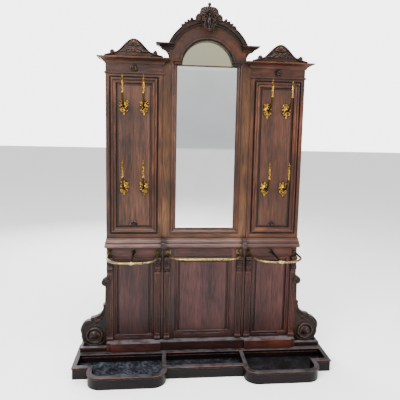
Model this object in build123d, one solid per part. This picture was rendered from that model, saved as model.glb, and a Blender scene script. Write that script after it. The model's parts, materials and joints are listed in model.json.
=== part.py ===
from build123d import *
import math
import os

# A carved hall tree: an arched mirror between two panelled wings with coat hooks, above a panelled
# lower body with brass umbrella rails, on a base box with three umbrella wells and their zinc pans.
#
# Millimetres. X runs to the right, Y to the back and Z up. The origin is on the floor, under the
# middle of the whole piece.

# ---- overall ----
TOTAL_HEIGHT = 2400.0
BASE_HALF_WIDTH = 855.0
FRONT_Y = -230.0           # front of the bowed umbrella wells
BACK_Y = 230.0             # the side against the wall
FACE_Y = 147.0             # front of the wings' stiles
CENTER_FACE_Y = 153.0      # front of the stiles beside the mirror, a little further back
BOARD = 30.0               # thickness of the frame timbers
BACK_BOARD = 12.0
CASE_BACK_Y = BACK_Y - BACK_BOARD

# ---- levels ----
FLOOR_BOARD = 16.0
BASE_TOP = 80.0
PLINTH_TOP = 143.0
WAIST_LOW = 796.0
WAIST_HIGH = 862.0
CORNICE_LOW = 1945.0
FRIEZE_TOP = 2008.0
CORNICE_HIGH = 2048.0
ARCH_BOARD_LOW = 2016.0
ARCH_SPRING = 2006.0       # centre of the half-round mirror glass
ARCH_CENTER = 2024.0       # centre of the arched cornice
EAR_LOW = 2110.0
EAR_HIGH = 2145.0

# ---- base box ----
END_FACE_Y = -93.0         # front of the short rails at the two ends
CENTER_RAIL_FACE_Y = -123.0
RAIL = 28.0                # thickness of the base's front rails
END_RAIL_BACK_Y = END_FACE_Y + RAIL
CENTER_RAIL_BACK_Y = CENTER_RAIL_FACE_Y + RAIL
NOSING = 6.0               # how far the rounded top edge stands out
NOSING_HEIGHT = 12.0
QUIRK = 4.0                # the thin sunk line under the nosing
BOW_X = 499.0
BOW_HALF_WIDTH = 246.0
BOW_FACE_Y = FRONT_Y + NOSING
BOW_RADIUS = 86.0
BOW_WALL = 26.0
DIVIDER_OUT = BOW_X - BOW_HALF_WIDTH + BOW_WALL
DIVIDER_IN = DIVIDER_OUT - BOW_WALL
END_BOARD_IN = 825.0
DECK_FRONT_Y = 67.0
DECK = 18.0
PAN_GAP = 2.0
PAN_SHEET = 2.0
PAN_HEIGHT = 10.0          # the zinc pans are low trays

# ---- wings and lower body ----
WING_X = 475.0
WING_HALF_WIDTH = 182.5
CENTER_EDGE = WING_X - WING_HALF_WIDTH      # where the wings meet the centre
WING_EDGE = WING_X + WING_HALF_WIDTH        # the outer side of a wing
PILASTER_OFFSET = 161.0    # of a wing's pilasters from the wing's middle
PILASTER_WIDTH = 38.0
CENTER_PILASTER_X = 250.0
PILASTER_DEPTH = 12.0
CORBEL_LOW = 628.0
CORBEL_HIGH = 735.0
LOWER_OPENING = 134.0      # half the width between a lower wing's stiles
CENTER_OPENING = 195.0
LOWER_MOULDING = 19.0
GROOVE = 16.0              # the sunk border round a raised field
FIELD_RECESS = 10.0        # a raised field's face behind the stiles
FIELD_LOW = 8.0            # foot of a lower panel above its opening's foot
SUNK_LINE_Z = -4.0         # middle of the short sunk line below a panel, from its opening's foot
SUNK_LINE = 14.0           # height of that line
SUNK_LINE_DEPTH = 12.0
SUNK_LINE_STOP = 65.0      # from the end of a sunk line to the stile
ARRIS_X = 272.0            # inner edge of the rounded strip that stands out beside each wing
UPPER_OPENING = 159.0
UPPER_QUIRK = 11.0
UPPER_MOULDING = 31.0
UPPER_RAIL_LOW = 893.0
UPPER_RAIL_HIGH = 1930.0
FRIEZE_ROSETTE = 24.5      # radius
FAN = 32.0                 # radius of the fan at the foot of a wing's panel
CREST_Y = 104.0
CREST_THICKNESS = 34.0

# ---- mirror ----
MIRROR_HALF_WIDTH = 197.0
MIRROR_LOW = 932.0
MIRROR_MOULDING = 35.0
GLASS_Y = 160.0
GLASS = 5.0
ARCH_OPENING = 166.0
ARCH_BOARD_HALF = 250.0
ARCH_BOARD_Y = 150.0
ARCH_RADIUS = 283.0
ARCH_EDGE = ARCH_RADIUS - 13      # radius of the board's own edge, inside the cornice
ARCH_CORNICE_DEPTH = 45.0  # how far the arched cornice stands out from the board
EAR_TIP = 338.0
CROWN_Y = 86.0

# ---- back ----
SIDE_BOARD = 18.0
PARTITION = 16.0
PLANK_WIDTH = 145.0
PLANK_GAP = 1.6

# ---- brass ----
TUBE = 15.0            # diameter of the umbrella rails
RAIL_Z = 766.0
WING_RAIL_REACH = 271.0
WING_RAIL_HALF = 160.0
CENTER_RAIL_REACH = 200.0
CENTER_RAIL_X = 244.0
RAIL_CORNER = 120.0        # radius of the rails' corners
ROSETTE_DEPTH = 8.0
ROSETTE_RADIUS = 18.0
RAIL_ARM = 5.0             # radius of the thin arm to a wing rail's knob
KNOB = 13.0                # radius
HOOK_X = 65.0              # of a hook from its wing's middle
HOOK_HEIGHTS = {"upper": 1742.0, "lower": 1212.0}
HOOK_REACH = 134.0
HOOK_PLATE = 8.0           # thickness of a hook's back plate
PRONG_LOW = 76.0           # foot of the upright prong above the hook's middle
PRONG_LENGTH = 72.0
SCREW_PLACES = (33, -40)   # of the two screws above the hook's middle

nodes = {}


# ---- helpers ----
def node(name, *shapes):
    """Keep the solids of the shapes as one named sub-part."""
    nodes[name] = Compound([solid for shape in shapes for solid in shape.solids()])


def board(x_low, x_high, y_low, y_high, z_low, z_high):
    """A plain rectangular timber between two corners."""
    middle = Pos((x_low + x_high) / 2, (y_low + y_high) / 2, (z_low + z_high) / 2)
    return middle * Box(x_high - x_low, y_high - y_low, z_high - z_low)


def flipped(shape):
    """The same shape on the other side of the piece."""
    return mirror(shape, about=Plane.YZ)


def both_sides(shape):
    return [shape, flipped(shape)]


def upright(face, y_front, y_back):
    """A board cut to an outline drawn in X and Z."""
    return extrude(Plane.XZ.offset(-y_back) * face, amount=y_back - y_front)


def along_x(face, x_low, x_high):
    """A run of a section drawn in Y and Z."""
    return extrude(Plane.YZ.offset(x_low) * face, amount=x_high - x_low)


def flat(face, z_low, z_high):
    """A plate cut to an outline drawn in X and Y."""
    return extrude(Plane.XY.offset(z_low) * face, amount=z_high - z_low)


def moulding_line(points, place):
    """Lines and arcs through the points. Each point is (out, along, bulge), and the bulge is how far
    the stretch up to it swells outwards from a straight line; place turns (out, along) into a
    point of the drawing."""
    edges = []
    for start, end in zip(points, points[1:]):
        run_out = end[0] - start[0]
        run_along = end[1] - start[1]
        length = math.hypot(run_out, run_along)
        if end[2] == 0:
            edges.append(Line(place(start[0], start[1]), place(end[0], end[1])))
        else:
            middle_out = (start[0] + end[0]) / 2 + end[2] * run_along / length
            middle_along = (start[1] + end[1]) / 2 - end[2] * run_out / length
            middle = place(middle_out, middle_along)
            edges.append(ThreePointArc(place(start[0], start[1]), middle, place(end[0], end[1])))
    return edges


def as_drawn(across, up):
    """Leaves a point of a section or outline where it is."""
    return (across, up)


def outline(points):
    """A face from points (x, z, bulge), closed by a straight line, and swelling to its right."""
    edges = moulding_line(points, as_drawn)
    edges.append(Line(points[-1][:2], points[0][:2]))
    return make_face(edges)


def moulded_block(x_low, x_high, y_face, y_back, section, left=False, right=False, end_share=1.0):
    """A block with a moulding along its front and round the ends asked for. The section is a list of
    (projection, height, bulge), from the bottom up. At the ends it projects by end_share of that."""
    bottom = section[0]
    top = section[-1]
    reach = max(point[0] for point in section) + 10
    edges = moulding_line(section, lambda out, z: (y_face - out, z))
    edges += Polyline((y_face - top[0], top[1]), (y_back, top[1]), (y_back, bottom[1]),
                      (y_face - bottom[0], bottom[1])).edges()
    front = along_x(make_face(edges), x_low - reach * left, x_high + reach * right)
    if not (left or right):
        return front
    if right:
        right_edges = moulding_line(section, lambda out, z: (x_high + end_share * out, z))
    else:
        right_edges = [Line((x_high, bottom[1]), (x_high, top[1]))]
    if left:
        left_edges = moulding_line(section, lambda out, z: (x_low - end_share * out, z))
    else:
        left_edges = [Line((x_low, bottom[1]), (x_low, top[1]))]
    low = Line(left_edges[0] @ 0, right_edges[0] @ 0)
    high = Line(left_edges[-1] @ 1, right_edges[-1] @ 1)
    ends = make_face(right_edges + left_edges + [low, high])
    return front & upright(ends, y_face - reach, y_back)


def frame_moulding(x_middle, half_width, z_low, z_high, y_face, y_back, section):
    """Four mitred lengths of moulding inside an opening. The section is (inwards, projection, bulge)
    from the opening's edge to the moulding's inner edge."""
    width = section[-1][0]
    length = z_high - z_low
    z_middle = (z_low + z_high) / 2

    def one_side(reach, run):
        """The length below the middle of an opening that is 2 * reach high and run wide."""
        def place(inwards, out):
            return (y_face - out, -reach + inwards)

        # the bulge of a moulding drawn edge to edge swells the other way
        points = [(a, b, -bulge) for a, b, bulge in section]
        edges = moulding_line(points, place)
        edges += Polyline((y_face - section[-1][1], -reach + width), (y_back, -reach + width),
                          (y_back, -reach), (y_face - section[0][1], -reach)).edges()
        strip = along_x(make_face(edges), -run / 2, run / 2)
        mitre = make_face(Polyline((-run / 2, -reach), (run / 2, -reach),
                                   (run / 2 - width, -reach + width),
                                   (-run / 2 + width, -reach + width), close=True).edges())
        return strip & upright(mitre, y_face - 40, y_back)

    place_all = Pos(x_middle, 0, z_middle)
    low = one_side(length / 2, 2 * half_width)
    side = one_side(half_width, length)
    return [place_all * low, place_all * Rot(0, 180, 0) * low,
            place_all * Rot(0, 90, 0) * side, place_all * Rot(0, -90, 0) * side]


def disc(x, z, radius, y_front, y_back):
    """A round flat piece facing forwards."""
    return upright(Pos(x, z) * Circle(radius), y_front, y_back)


# ---- base box ----
RAIL_SECTION = [
    (0, 0, 0),
    (0, BASE_TOP - NOSING_HEIGHT - QUIRK, 0),
    (-2, BASE_TOP - NOSING_HEIGHT - QUIRK, 0),
    (-2, BASE_TOP - NOSING_HEIGHT, 0),
    (1, BASE_TOP - NOSING_HEIGHT, 0),
    (1, BASE_TOP, NOSING - 1),
    ]


def bow_plan(inset, back_y):
    """The plan of a bowed well: straight sides and a front with two round corners."""
    half = BOW_HALF_WIDTH - inset
    front = BOW_FACE_Y + inset
    shape = Pos(BOW_X, (front + back_y) / 2) * Rectangle(2 * half, back_y - front)
    return fillet(shape.vertices().sort_by(Axis.Y)[:2], BOW_RADIUS - inset)


def filled_bow():
    """The bow without its hollow, as deep as the end rails."""
    z_quirk = BASE_TOP - NOSING_HEIGHT - QUIRK
    wall = flat(bow_plan(0, END_RAIL_BACK_Y), 0, z_quirk)
    sunk = flat(bow_plan(2, END_RAIL_BACK_Y), z_quirk, z_quirk + QUIRK)
    rim = flat(bow_plan(-NOSING, 0), BASE_TOP - NOSING_HEIGHT, BASE_TOP)
    round_edges = rim.edges().group_by(Axis.Z)[-1] + rim.edges().group_by(Axis.Z)[0]
    rim = fillet(round_edges, NOSING - 1)
    rim = rim & board(0, BASE_HALF_WIDTH, FRONT_Y, END_RAIL_BACK_Y, 0, BASE_TOP)
    beside_divider = board(0, DIVIDER_OUT, CENTER_RAIL_BACK_Y, 0, 0, BASE_TOP)
    return wall + sunk + rim - beside_divider


def bow_wall():
    hollow = flat(bow_plan(BOW_WALL, 0), 0, BASE_TOP)
    return filled_bow() - hollow


def front_rails():
    below_rim = BASE_TOP - NOSING_HEIGHT
    bow = flat(bow_plan(0, 0), -1, below_rim) + flat(bow_plan(-NOSING, 0), below_rim, BASE_TOP + 1)
    center = moulded_block(-BOW_X, BOW_X, CENTER_RAIL_FACE_Y, CENTER_RAIL_BACK_Y, RAIL_SECTION)
    center = center & board(-DIVIDER_OUT, DIVIDER_OUT, FRONT_Y, 0, 0, BASE_TOP)
    center = center - bow - flipped(bow)
    return [center] + both_sides(end_section(FRONT_Y, END_RAIL_BACK_Y) - bow)


def end_section(y_low, y_high):
    """The moulded frame at the right end of the base, cut to a stretch of its depth."""
    block = moulded_block(BOW_X, BASE_HALF_WIDTH - NOSING, END_FACE_Y, CASE_BACK_Y, RAIL_SECTION,
                          right=True)
    block = block - board(0, END_BOARD_IN, END_RAIL_BACK_Y, BACK_Y, 0, BASE_TOP)
    return block & board(0, BASE_HALF_WIDTH + 1, y_low, y_high, 0, BASE_TOP)


def floor_boards():
    main = board(-END_BOARD_IN, END_BOARD_IN, END_RAIL_BACK_Y, CASE_BACK_Y, 0, FLOOR_BOARD)
    middle = board(-DIVIDER_OUT, DIVIDER_OUT, CENTER_RAIL_BACK_Y, END_RAIL_BACK_Y, 0, FLOOR_BOARD)
    bow = flat(bow_plan(BOW_WALL, END_RAIL_BACK_Y), 0, FLOOR_BOARD)
    return [main, middle] + both_sides(bow)


def well_boards():
    back = board(-END_BOARD_IN, END_BOARD_IN, DECK_FRONT_Y, DECK_FRONT_Y + DECK,
                 FLOOR_BOARD, BASE_TOP - DECK)
    divider = board(DIVIDER_IN, DIVIDER_OUT, CENTER_RAIL_BACK_Y, DECK_FRONT_Y,
                    FLOOR_BOARD, BASE_TOP)
    return [back] + both_sides(divider)


def deck():
    plank = board(-END_BOARD_IN, END_BOARD_IN, DECK_FRONT_Y, CASE_BACK_Y, BASE_TOP - DECK, BASE_TOP)
    front_top = plank.edges().filter_by(Axis.X).sort_by(lambda edge: edge.center().Y - edge.center().Z)
    return fillet(front_top[0], 3)


def pan_plan(inset):
    """A wing's well, narrowed by the inset all round."""
    gap = PAN_GAP + inset
    main = Pos((DIVIDER_OUT + END_BOARD_IN) / 2, (END_RAIL_BACK_Y + DECK_FRONT_Y) / 2) * Rectangle(
        END_BOARD_IN - DIVIDER_OUT - 2 * gap, DECK_FRONT_Y - END_RAIL_BACK_Y - 2 * gap)
    return main + bow_plan(BOW_WALL + gap, 0)


def drip_pan_wing():
    outside = flat(pan_plan(0), FLOOR_BOARD, FLOOR_BOARD + PAN_HEIGHT)
    return outside - flat(pan_plan(PAN_SHEET), FLOOR_BOARD + PAN_SHEET, BASE_TOP)


def drip_pan_center():
    y_low = CENTER_RAIL_BACK_Y + PAN_GAP
    y_high = DECK_FRONT_Y - PAN_GAP
    half = DIVIDER_IN - PAN_GAP
    outside = board(-half, half, y_low, y_high, FLOOR_BOARD, FLOOR_BOARD + PAN_HEIGHT)
    return outside - board(-half + PAN_SHEET, half - PAN_SHEET, y_low + PAN_SHEET,
                           y_high - PAN_SHEET, FLOOR_BOARD + PAN_SHEET, BASE_TOP)


# ---- plinth and side scrolls ----
WING_PLINTH_Y = 87.0
CENTER_PLINTH_Y = 102.0
PLINTH_RETURN_Y = 99.0
PLINTH_RETURN = 32.0
SCROLL_BLOCK_TOP = 113.0
SCROLL_BLOCK_Y = 107.0
SCROLL_BLOCK_OUT = 832.0
SCROLL_Y = 131.0
SCROLL_THICKNESS = 40.0
BOSS_X = 738.0
BOSS_Z = 188.0
BOSS_RADIUS = 57.0


def plinth_section(top):
    return [(0, BASE_TOP, 0), (0, top - 9, 0), (3, top - 6, -1), (3, top - 3, 0), (0, top, 1)]


def plinth_wing():
    main = moulded_block(CENTER_EDGE, WING_EDGE - PLINTH_RETURN, WING_PLINTH_Y, CASE_BACK_Y,
                         plinth_section(PLINTH_TOP), right=True)
    back_step = moulded_block(WING_EDGE - PLINTH_RETURN - 5, WING_EDGE - 4, PLINTH_RETURN_Y,
                              CASE_BACK_Y, plinth_section(PLINTH_TOP), right=True)
    return main + back_step


def scroll_block():
    section = [(0, BASE_TOP, 0), (0, 100, 0), (4, 103, -1), (4, 108, 0), (0, SCROLL_BLOCK_TOP, 1.5)]
    return moulded_block(WING_EDGE, SCROLL_BLOCK_OUT, SCROLL_BLOCK_Y, CASE_BACK_Y, section, right=True)


def scroll_bracket():
    """The side bracket: a roundel at the top, a hollow sweep with a pointed leaf, and a big volute."""
    shape = outline([
        (WING_EDGE, SCROLL_BLOCK_TOP, 0),
        (820, SCROLL_BLOCK_TOP, 0),
        (813, 142, -3),
        (826, 200, 6),
        (757, 294, 34),
        (768, 305, 0),
        (745, 316, 2),
        (682, 406, -24),
        (668, 408, 0),
        (665, 532, 0),
        (665, 590, 22),
        (WING_EDGE, 596, 0),
        ])
    return upright(shape, SCROLL_Y, SCROLL_Y + SCROLL_THICKNESS)


def scroll_boss():
    """A turned rosette: outer ring, sunk dish, dome and button."""
    section = make_face(moulding_line([
        (0, 0, 0), (BOSS_RADIUS, 0, 0), (BOSS_RADIUS, 9, 0), (BOSS_RADIUS - 11, 9, 5.5),
        (BOSS_RADIUS - 15, 5, 0), (32, 5, 0), (10, 14, 4), (9, 18, 0), (6, 20, 1), (0, 20, 0), (0, 0, 0)],
        lambda out, up: (out, -up)))
    return Pos(BOSS_X, SCROLL_Y, BOSS_Z) * revolve(section, axis=Axis.Y)


# ---- lower body ----
LOWER_OPENINGS = {"wing": (LOWER_OPENING, 170.0, 728.0), "center": (CENTER_OPENING, 190.0, 728.0)}
LOWER_MOULDING_SECTION = [(0, 0, 0), (0, 3, 0), (6, 5, 1.5), (9, 2, 0), (LOWER_MOULDING, -5, -1.5)]


def lower_stiles():
    y_back = FACE_Y + BOARD
    outer = board(WING_X + LOWER_OPENING, WING_EDGE, FACE_Y, y_back, PLINTH_TOP, WAIST_LOW)
    inner = board(CENTER_EDGE, WING_X - LOWER_OPENING, FACE_Y, y_back, PLINTH_TOP, WAIST_LOW)
    center = board(CENTER_OPENING, ARRIS_X, FACE_Y, y_back, PLINTH_TOP, WAIST_LOW)
    arris = board(ARRIS_X, CENTER_EDGE, FACE_Y - 8, y_back, PLINTH_TOP, WAIST_LOW)
    arris = fillet(arris.edges().filter_by(Axis.Z).sort_by(Axis.Y)[:2], 6)
    return both_sides(outer) + both_sides(inner) + both_sides(center) + both_sides(arris)


def lower_rail_pair(x_middle, kind):
    """A bay's bottom rail with a short sunk line, its deep top rail and the bead along it."""
    half, z_low, z_high = LOWER_OPENINGS[kind]
    y_back = FACE_Y + BOARD
    bottom = board(x_middle - half, x_middle + half, FACE_Y, y_back, PLINTH_TOP, z_low + FIELD_LOW)
    line_half = half - SUNK_LINE_STOP
    line_z = z_low + SUNK_LINE_Z
    bottom -= board(x_middle - line_half, x_middle + line_half, FACE_Y, FACE_Y + SUNK_LINE_DEPTH,
                    line_z - SUNK_LINE / 2, line_z + SUNK_LINE / 2)
    top = board(x_middle - half, x_middle + half, FACE_Y, y_back, z_high, WAIST_LOW)
    bead_section = [(0, 733, 0), (0, 741, 3.5)]
    bead = moulded_block(x_middle - half, x_middle + half, FACE_Y, FACE_Y + 1, bead_section)
    return [bottom, top + bead]


def raised_panel(x_middle, half, z_low, z_high, y_field, foot_groove=GROOVE):
    """A panel with a raised field, framed by a sunk groove."""
    back = board(x_middle - half, x_middle + half, y_field + 10, y_field + 10 + 8, z_low, z_high)
    field = board(x_middle - half + GROOVE, x_middle + half - GROOVE, y_field, y_field + 10,
                  z_low + foot_groove, z_high - GROOVE)
    return back + field


def lower_panel(x_middle, kind):
    half, z_low, z_high = LOWER_OPENINGS[kind]
    inset = LOWER_MOULDING
    return raised_panel(x_middle, half - inset, z_low + FIELD_LOW, z_high - inset,
                        FACE_Y + FIELD_RECESS, foot_groove=0)


def lower_moulding(x_middle, kind):
    """Three lengths of moulding, above and beside a lower panel."""
    half, z_low, z_high = LOWER_OPENINGS[kind]
    lengths = frame_moulding(x_middle, half, z_low, z_high, FACE_Y, FACE_Y + BOARD - 4,
                             LOWER_MOULDING_SECTION)
    above_rail = board(x_middle - half, x_middle + half, 0, BACK_Y, z_low + FIELD_LOW, WAIST_LOW)
    return [length & above_rail for length in lengths[1:]]


def pilaster(x_middle):
    """A fluted shaft on its own small base block."""
    half = PILASTER_WIDTH / 2
    front = FACE_Y - PILASTER_DEPTH
    base_top = PLINTH_TOP + 28
    shaft = board(x_middle - half, x_middle + half, front, FACE_Y, base_top, CORBEL_LOW)
    flute_low = base_top + 16
    flute_high = CORBEL_LOW - 14
    for offset in (-11, 0, 11):
        run = Pos(x_middle + offset, front, (flute_low + flute_high) / 2)
        shaft -= run * Cylinder(4.2, flute_high - flute_low)
    foot = [(0, PLINTH_TOP, 0), (0, base_top - 8, 0), (-4, base_top, -2)]
    block = moulded_block(x_middle - half - 1, x_middle + half + 1, front - 6, FACE_Y, foot)
    return shaft + block


def corbel(x_middle):
    """A scrolled bracket over the pilaster: cap, upper roll, hollow, lower roll."""
    section = [
        (PILASTER_DEPTH, CORBEL_LOW, 0),
        (20, 641, -2),
        (26, 676, 12),
        (17, 684, -2),
        (24, 712, 7),
        (32, 716, 0),
        (34, CORBEL_HIGH, 2),
        ]
    half = PILASTER_WIDTH / 2
    return moulded_block(x_middle - half, x_middle + half, FACE_Y, FACE_Y, section)


WAIST_SECTION = [
    (6, WAIST_LOW, 0),
    (24, 800, -3),
    (26, 828, 9),
    (22, 829, 0),
    (22, 833, 0),
    (26, 834, 0),
    (26, 840, 1.5),
    (10, 856, -3),
    (10, WAIST_HIGH, 1),
    ]


def waist_mouldings():
    wing = moulded_block(CENTER_EDGE, WING_EDGE, FACE_Y, CASE_BACK_Y, WAIST_SECTION,
                         right=True, end_share=0.3)
    center = moulded_block(-CENTER_EDGE, CENTER_EDGE, CENTER_FACE_Y, CASE_BACK_Y, WAIST_SECTION)
    return both_sides(wing) + [center]


def waist_key():
    """A small console over the seam between a wing and the centre."""
    section = [(36, 793, 0), (44, 812, 3), (40, 838, 4), (44, 846, -1), (46, 864, 2)]
    front = moulded_block(262, 291, FACE_Y, FACE_Y, section)
    return front - moulded_block(CENTER_EDGE - 60, CENTER_EDGE, CENTER_FACE_Y, CASE_BACK_Y,
                                 WAIST_SECTION) - board(0, CENTER_EDGE, FACE_Y - 30, FACE_Y, 0, WAIST_LOW)


# ---- wings ----
UPPER_MOULDING_SECTION = [
    (0, -4, 0), (0, 5, 0), (9, 8, 2.5), (12, 4, 0), (26, -5, -2.5), (UPPER_MOULDING, -8, 1)]


def wing_stiles(x_middle):
    """Two stiles, each with a sunk strip beside the panel's moulding."""
    solids = []
    for side in (-1, 1):
        wide = sorted((x_middle + side * UPPER_OPENING, x_middle + side * WING_HALF_WIDTH))
        sunk = sorted((x_middle + side * (UPPER_OPENING - UPPER_QUIRK), x_middle + side * UPPER_OPENING))
        face = board(*wide, FACE_Y, FACE_Y + BOARD, WAIST_HIGH, CORNICE_LOW)
        strip = board(*sunk, FACE_Y + 12, FACE_Y + BOARD, UPPER_RAIL_LOW + UPPER_QUIRK,
                      UPPER_RAIL_HIGH - UPPER_QUIRK)
        solids.append(face + strip)
    return solids


def wing_rails(x_middle):
    """Bottom and top rail between the stiles, with the same sunk strip."""
    half = UPPER_OPENING
    y_back = FACE_Y + BOARD
    bottom = board(x_middle - half, x_middle + half, FACE_Y, y_back, WAIST_HIGH, UPPER_RAIL_LOW)
    bottom += board(x_middle - half, x_middle + half, FACE_Y + 12, y_back, UPPER_RAIL_LOW,
                    UPPER_RAIL_LOW + UPPER_QUIRK)
    top = board(x_middle - half, x_middle + half, FACE_Y, y_back, UPPER_RAIL_HIGH, CORNICE_LOW)
    top += board(x_middle - half, x_middle + half, FACE_Y + 12, y_back,
                 UPPER_RAIL_HIGH - UPPER_QUIRK, UPPER_RAIL_HIGH)
    return [bottom, top]


def wing_panel(x_middle):
    inset = UPPER_QUIRK + UPPER_MOULDING
    return raised_panel(x_middle, UPPER_OPENING - inset, UPPER_RAIL_LOW + inset,
                        UPPER_RAIL_HIGH - inset, FACE_Y + FIELD_RECESS)


def wing_moulding(x_middle):
    return frame_moulding(x_middle, UPPER_OPENING - UPPER_QUIRK, UPPER_RAIL_LOW + UPPER_QUIRK,
                          UPPER_RAIL_HIGH - UPPER_QUIRK, FACE_Y, FACE_Y + BOARD - 3,
                          UPPER_MOULDING_SECTION)


def fan_ornament(x_middle):
    """A half-round fan, carved on the foot of a wing's raised field."""
    z_low = UPPER_RAIL_LOW + UPPER_QUIRK + UPPER_MOULDING + GROOVE
    y_field = FACE_Y + FIELD_RECESS
    half_round = disc(x_middle, z_low, FAN, y_field - 8, y_field)
    return half_round & board(x_middle - FAN, x_middle + FAN, 0, BACK_Y, z_low, z_low + FAN)


WING_CORNICE_SECTION = [
    (3, CORNICE_LOW, 0),
    (3, CORNICE_LOW + 12, 6),
    (0, CORNICE_LOW + 12, 0),
    (0, FRIEZE_TOP, 0),
    (7, FRIEZE_TOP + 5, 1.5),
    (8, FRIEZE_TOP + 7, 0),
    (39, FRIEZE_TOP + 30, -3),
    (43, FRIEZE_TOP + 31, 0),
    (49, FRIEZE_TOP + 35, 1.5),
    (49, CORNICE_HIGH, 0),
    ]


def wing_cornice():
    """The frieze and cornice, returned at both ends. The inner return runs up to the arch board."""
    block = moulded_block(CENTER_EDGE, WING_EDGE, FACE_Y, BACK_Y, WING_CORNICE_SECTION,
                          left=True, right=True)
    return block & board(ARCH_BOARD_HALF, BASE_HALF_WIDTH, 0, BACK_Y, CORNICE_LOW, CORNICE_HIGH)


def frieze_rosette(x_middle):
    """A round flower that fits between the frieze's mouldings."""
    z = (CORNICE_LOW + 12 + FRIEZE_TOP) / 2
    flower = disc(x_middle, z, FRIEZE_ROSETTE, FACE_Y - 9, FACE_Y)
    return flower + disc(x_middle, z, FRIEZE_ROSETTE / 2, FACE_Y - 14, FACE_Y - 9)


def wing_crest(x_middle):
    """The carved crest: a hump between two small roundels on a long foot."""
    half = outline([(0, CORNICE_HIGH, 0), (185, CORNICE_HIGH, 0), (185, 2057, 0), (150, 2071, -2),
                    (120, 2078, 22), (90, 2096, -4), (48, 2141, 5), (0, 2161, 7)])
    return Pos(x_middle, 0, 0) * upright(half + flipped(half), CREST_Y, CREST_Y + CREST_THICKNESS)


# ---- centre ----
MIRROR_SECTION = [
    (0, -4, 0), (0, 6, 0), (10, 9, 3), (14, 5, 0), (29, -4, -2.5), (MIRROR_MOULDING, -5, 0)]


def mirror_stiles():
    y_back = CENTER_FACE_Y + BOARD
    stile = board(MIRROR_HALF_WIDTH + MIRROR_MOULDING, CENTER_EDGE, CENTER_FACE_Y, y_back,
                  WAIST_HIGH, CORNICE_LOW)
    stile += board(MIRROR_HALF_WIDTH + MIRROR_MOULDING, ARCH_BOARD_HALF, CENTER_FACE_Y, y_back,
                   CORNICE_LOW, ARCH_BOARD_LOW)
    beside_arch = board(ARCH_BOARD_HALF, CENTER_EDGE, CENTER_FACE_Y, BACK_Y, CORNICE_LOW, CORNICE_HIGH)
    stile += beside_arch - wing_cornice()
    rail_half = MIRROR_HALF_WIDTH + MIRROR_MOULDING
    rail = board(-rail_half, rail_half, CENTER_FACE_Y, y_back, WAIST_HIGH,
                 MIRROR_LOW - MIRROR_MOULDING)
    return both_sides(stile) + [rail]


def mirror_moulding():
    """Two upright lengths and a bottom length of the mirror's moulding, and the bar under the arch."""
    half = MIRROR_HALF_WIDTH + MIRROR_MOULDING
    lengths = frame_moulding(0, half, MIRROR_LOW - MIRROR_MOULDING, TOTAL_HEIGHT, CENTER_FACE_Y,
                             GLASS_Y, MIRROR_SECTION)
    below_arch = board(-half, half, 0, BACK_Y, 0, ARCH_BOARD_LOW)
    bottom, top, one_side, other_side = lengths
    bar = board(-MIRROR_HALF_WIDTH, MIRROR_HALF_WIDTH, GLASS_Y - 8, GLASS_Y,
                ARCH_BOARD_LOW - 7, ARCH_BOARD_LOW)
    bar = fillet(bar.edges().filter_by(Axis.X).sort_by(Axis.Y)[:2], 2)
    return [bottom, one_side & below_arch, other_side & below_arch, bar]


def lower_glass():
    return board(-MIRROR_HALF_WIDTH - 12, MIRROR_HALF_WIDTH + 12, GLASS_Y, GLASS_Y + GLASS,
                 MIRROR_LOW - 12, ARCH_BOARD_LOW - 5)


def arch_glass():
    margin = 8
    shape = Pos(0, ARCH_SPRING) * Circle(ARCH_OPENING + margin)
    half_round = upright(shape, ARCH_BOARD_Y + BOARD, ARCH_BOARD_Y + BOARD + GLASS)
    return half_round & board(-ARCH_RADIUS, ARCH_RADIUS, 0, BACK_Y, ARCH_BOARD_LOW, TOTAL_HEIGHT)


def arch_board():
    """The board round the half-round glass, with a bead at its opening and two small imposts."""
    y_back = ARCH_BOARD_Y + BOARD
    low = ARCH_BOARD_LOW
    shape = Pos(0, (low + EAR_HIGH) / 2) * Rectangle(2 * ARCH_BOARD_HALF, EAR_HIGH - low)
    cap = Pos(0, ARCH_CENTER) * Circle(ARCH_EDGE)
    cap &= Pos(0, EAR_HIGH + ARCH_RADIUS) * Rectangle(4 * ARCH_RADIUS, 2 * ARCH_RADIUS)
    opening = Pos(0, ARCH_SPRING) * Circle(ARCH_OPENING)
    opening += Pos(0, ARCH_SPRING - 50) * Rectangle(2 * ARCH_OPENING, 100)
    panel = upright(shape + cap - opening, ARCH_BOARD_Y, y_back)
    bead = make_face(moulding_line([
        (ARCH_OPENING, y_back, 0), (ARCH_OPENING, ARCH_BOARD_Y + 4, 0),
        (ARCH_OPENING + 9, ARCH_BOARD_Y - 3, -1.5), (ARCH_OPENING + 10, ARCH_BOARD_Y - 7, 0),
        (ARCH_OPENING + 20, ARCH_BOARD_Y - 7, 4), (ARCH_OPENING + 20, y_back, 0),
        (ARCH_OPENING, y_back, 0)], as_drawn))
    impost_top = low + 32
    above_imposts = board(-ARCH_RADIUS, ARCH_RADIUS, 0, BACK_Y, impost_top, TOTAL_HEIGHT)
    panel += (Pos(0, 0, ARCH_SPRING) * revolve(bead, axis=Axis.Y)) & above_imposts
    impost = board(169, 216, ARCH_BOARD_Y - 8, ARCH_BOARD_Y, low, impost_top)
    impost += board(167, 222, ARCH_BOARD_Y - 13, ARCH_BOARD_Y, impost_top - 14, impost_top)
    return panel + impost + flipped(impost)


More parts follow.
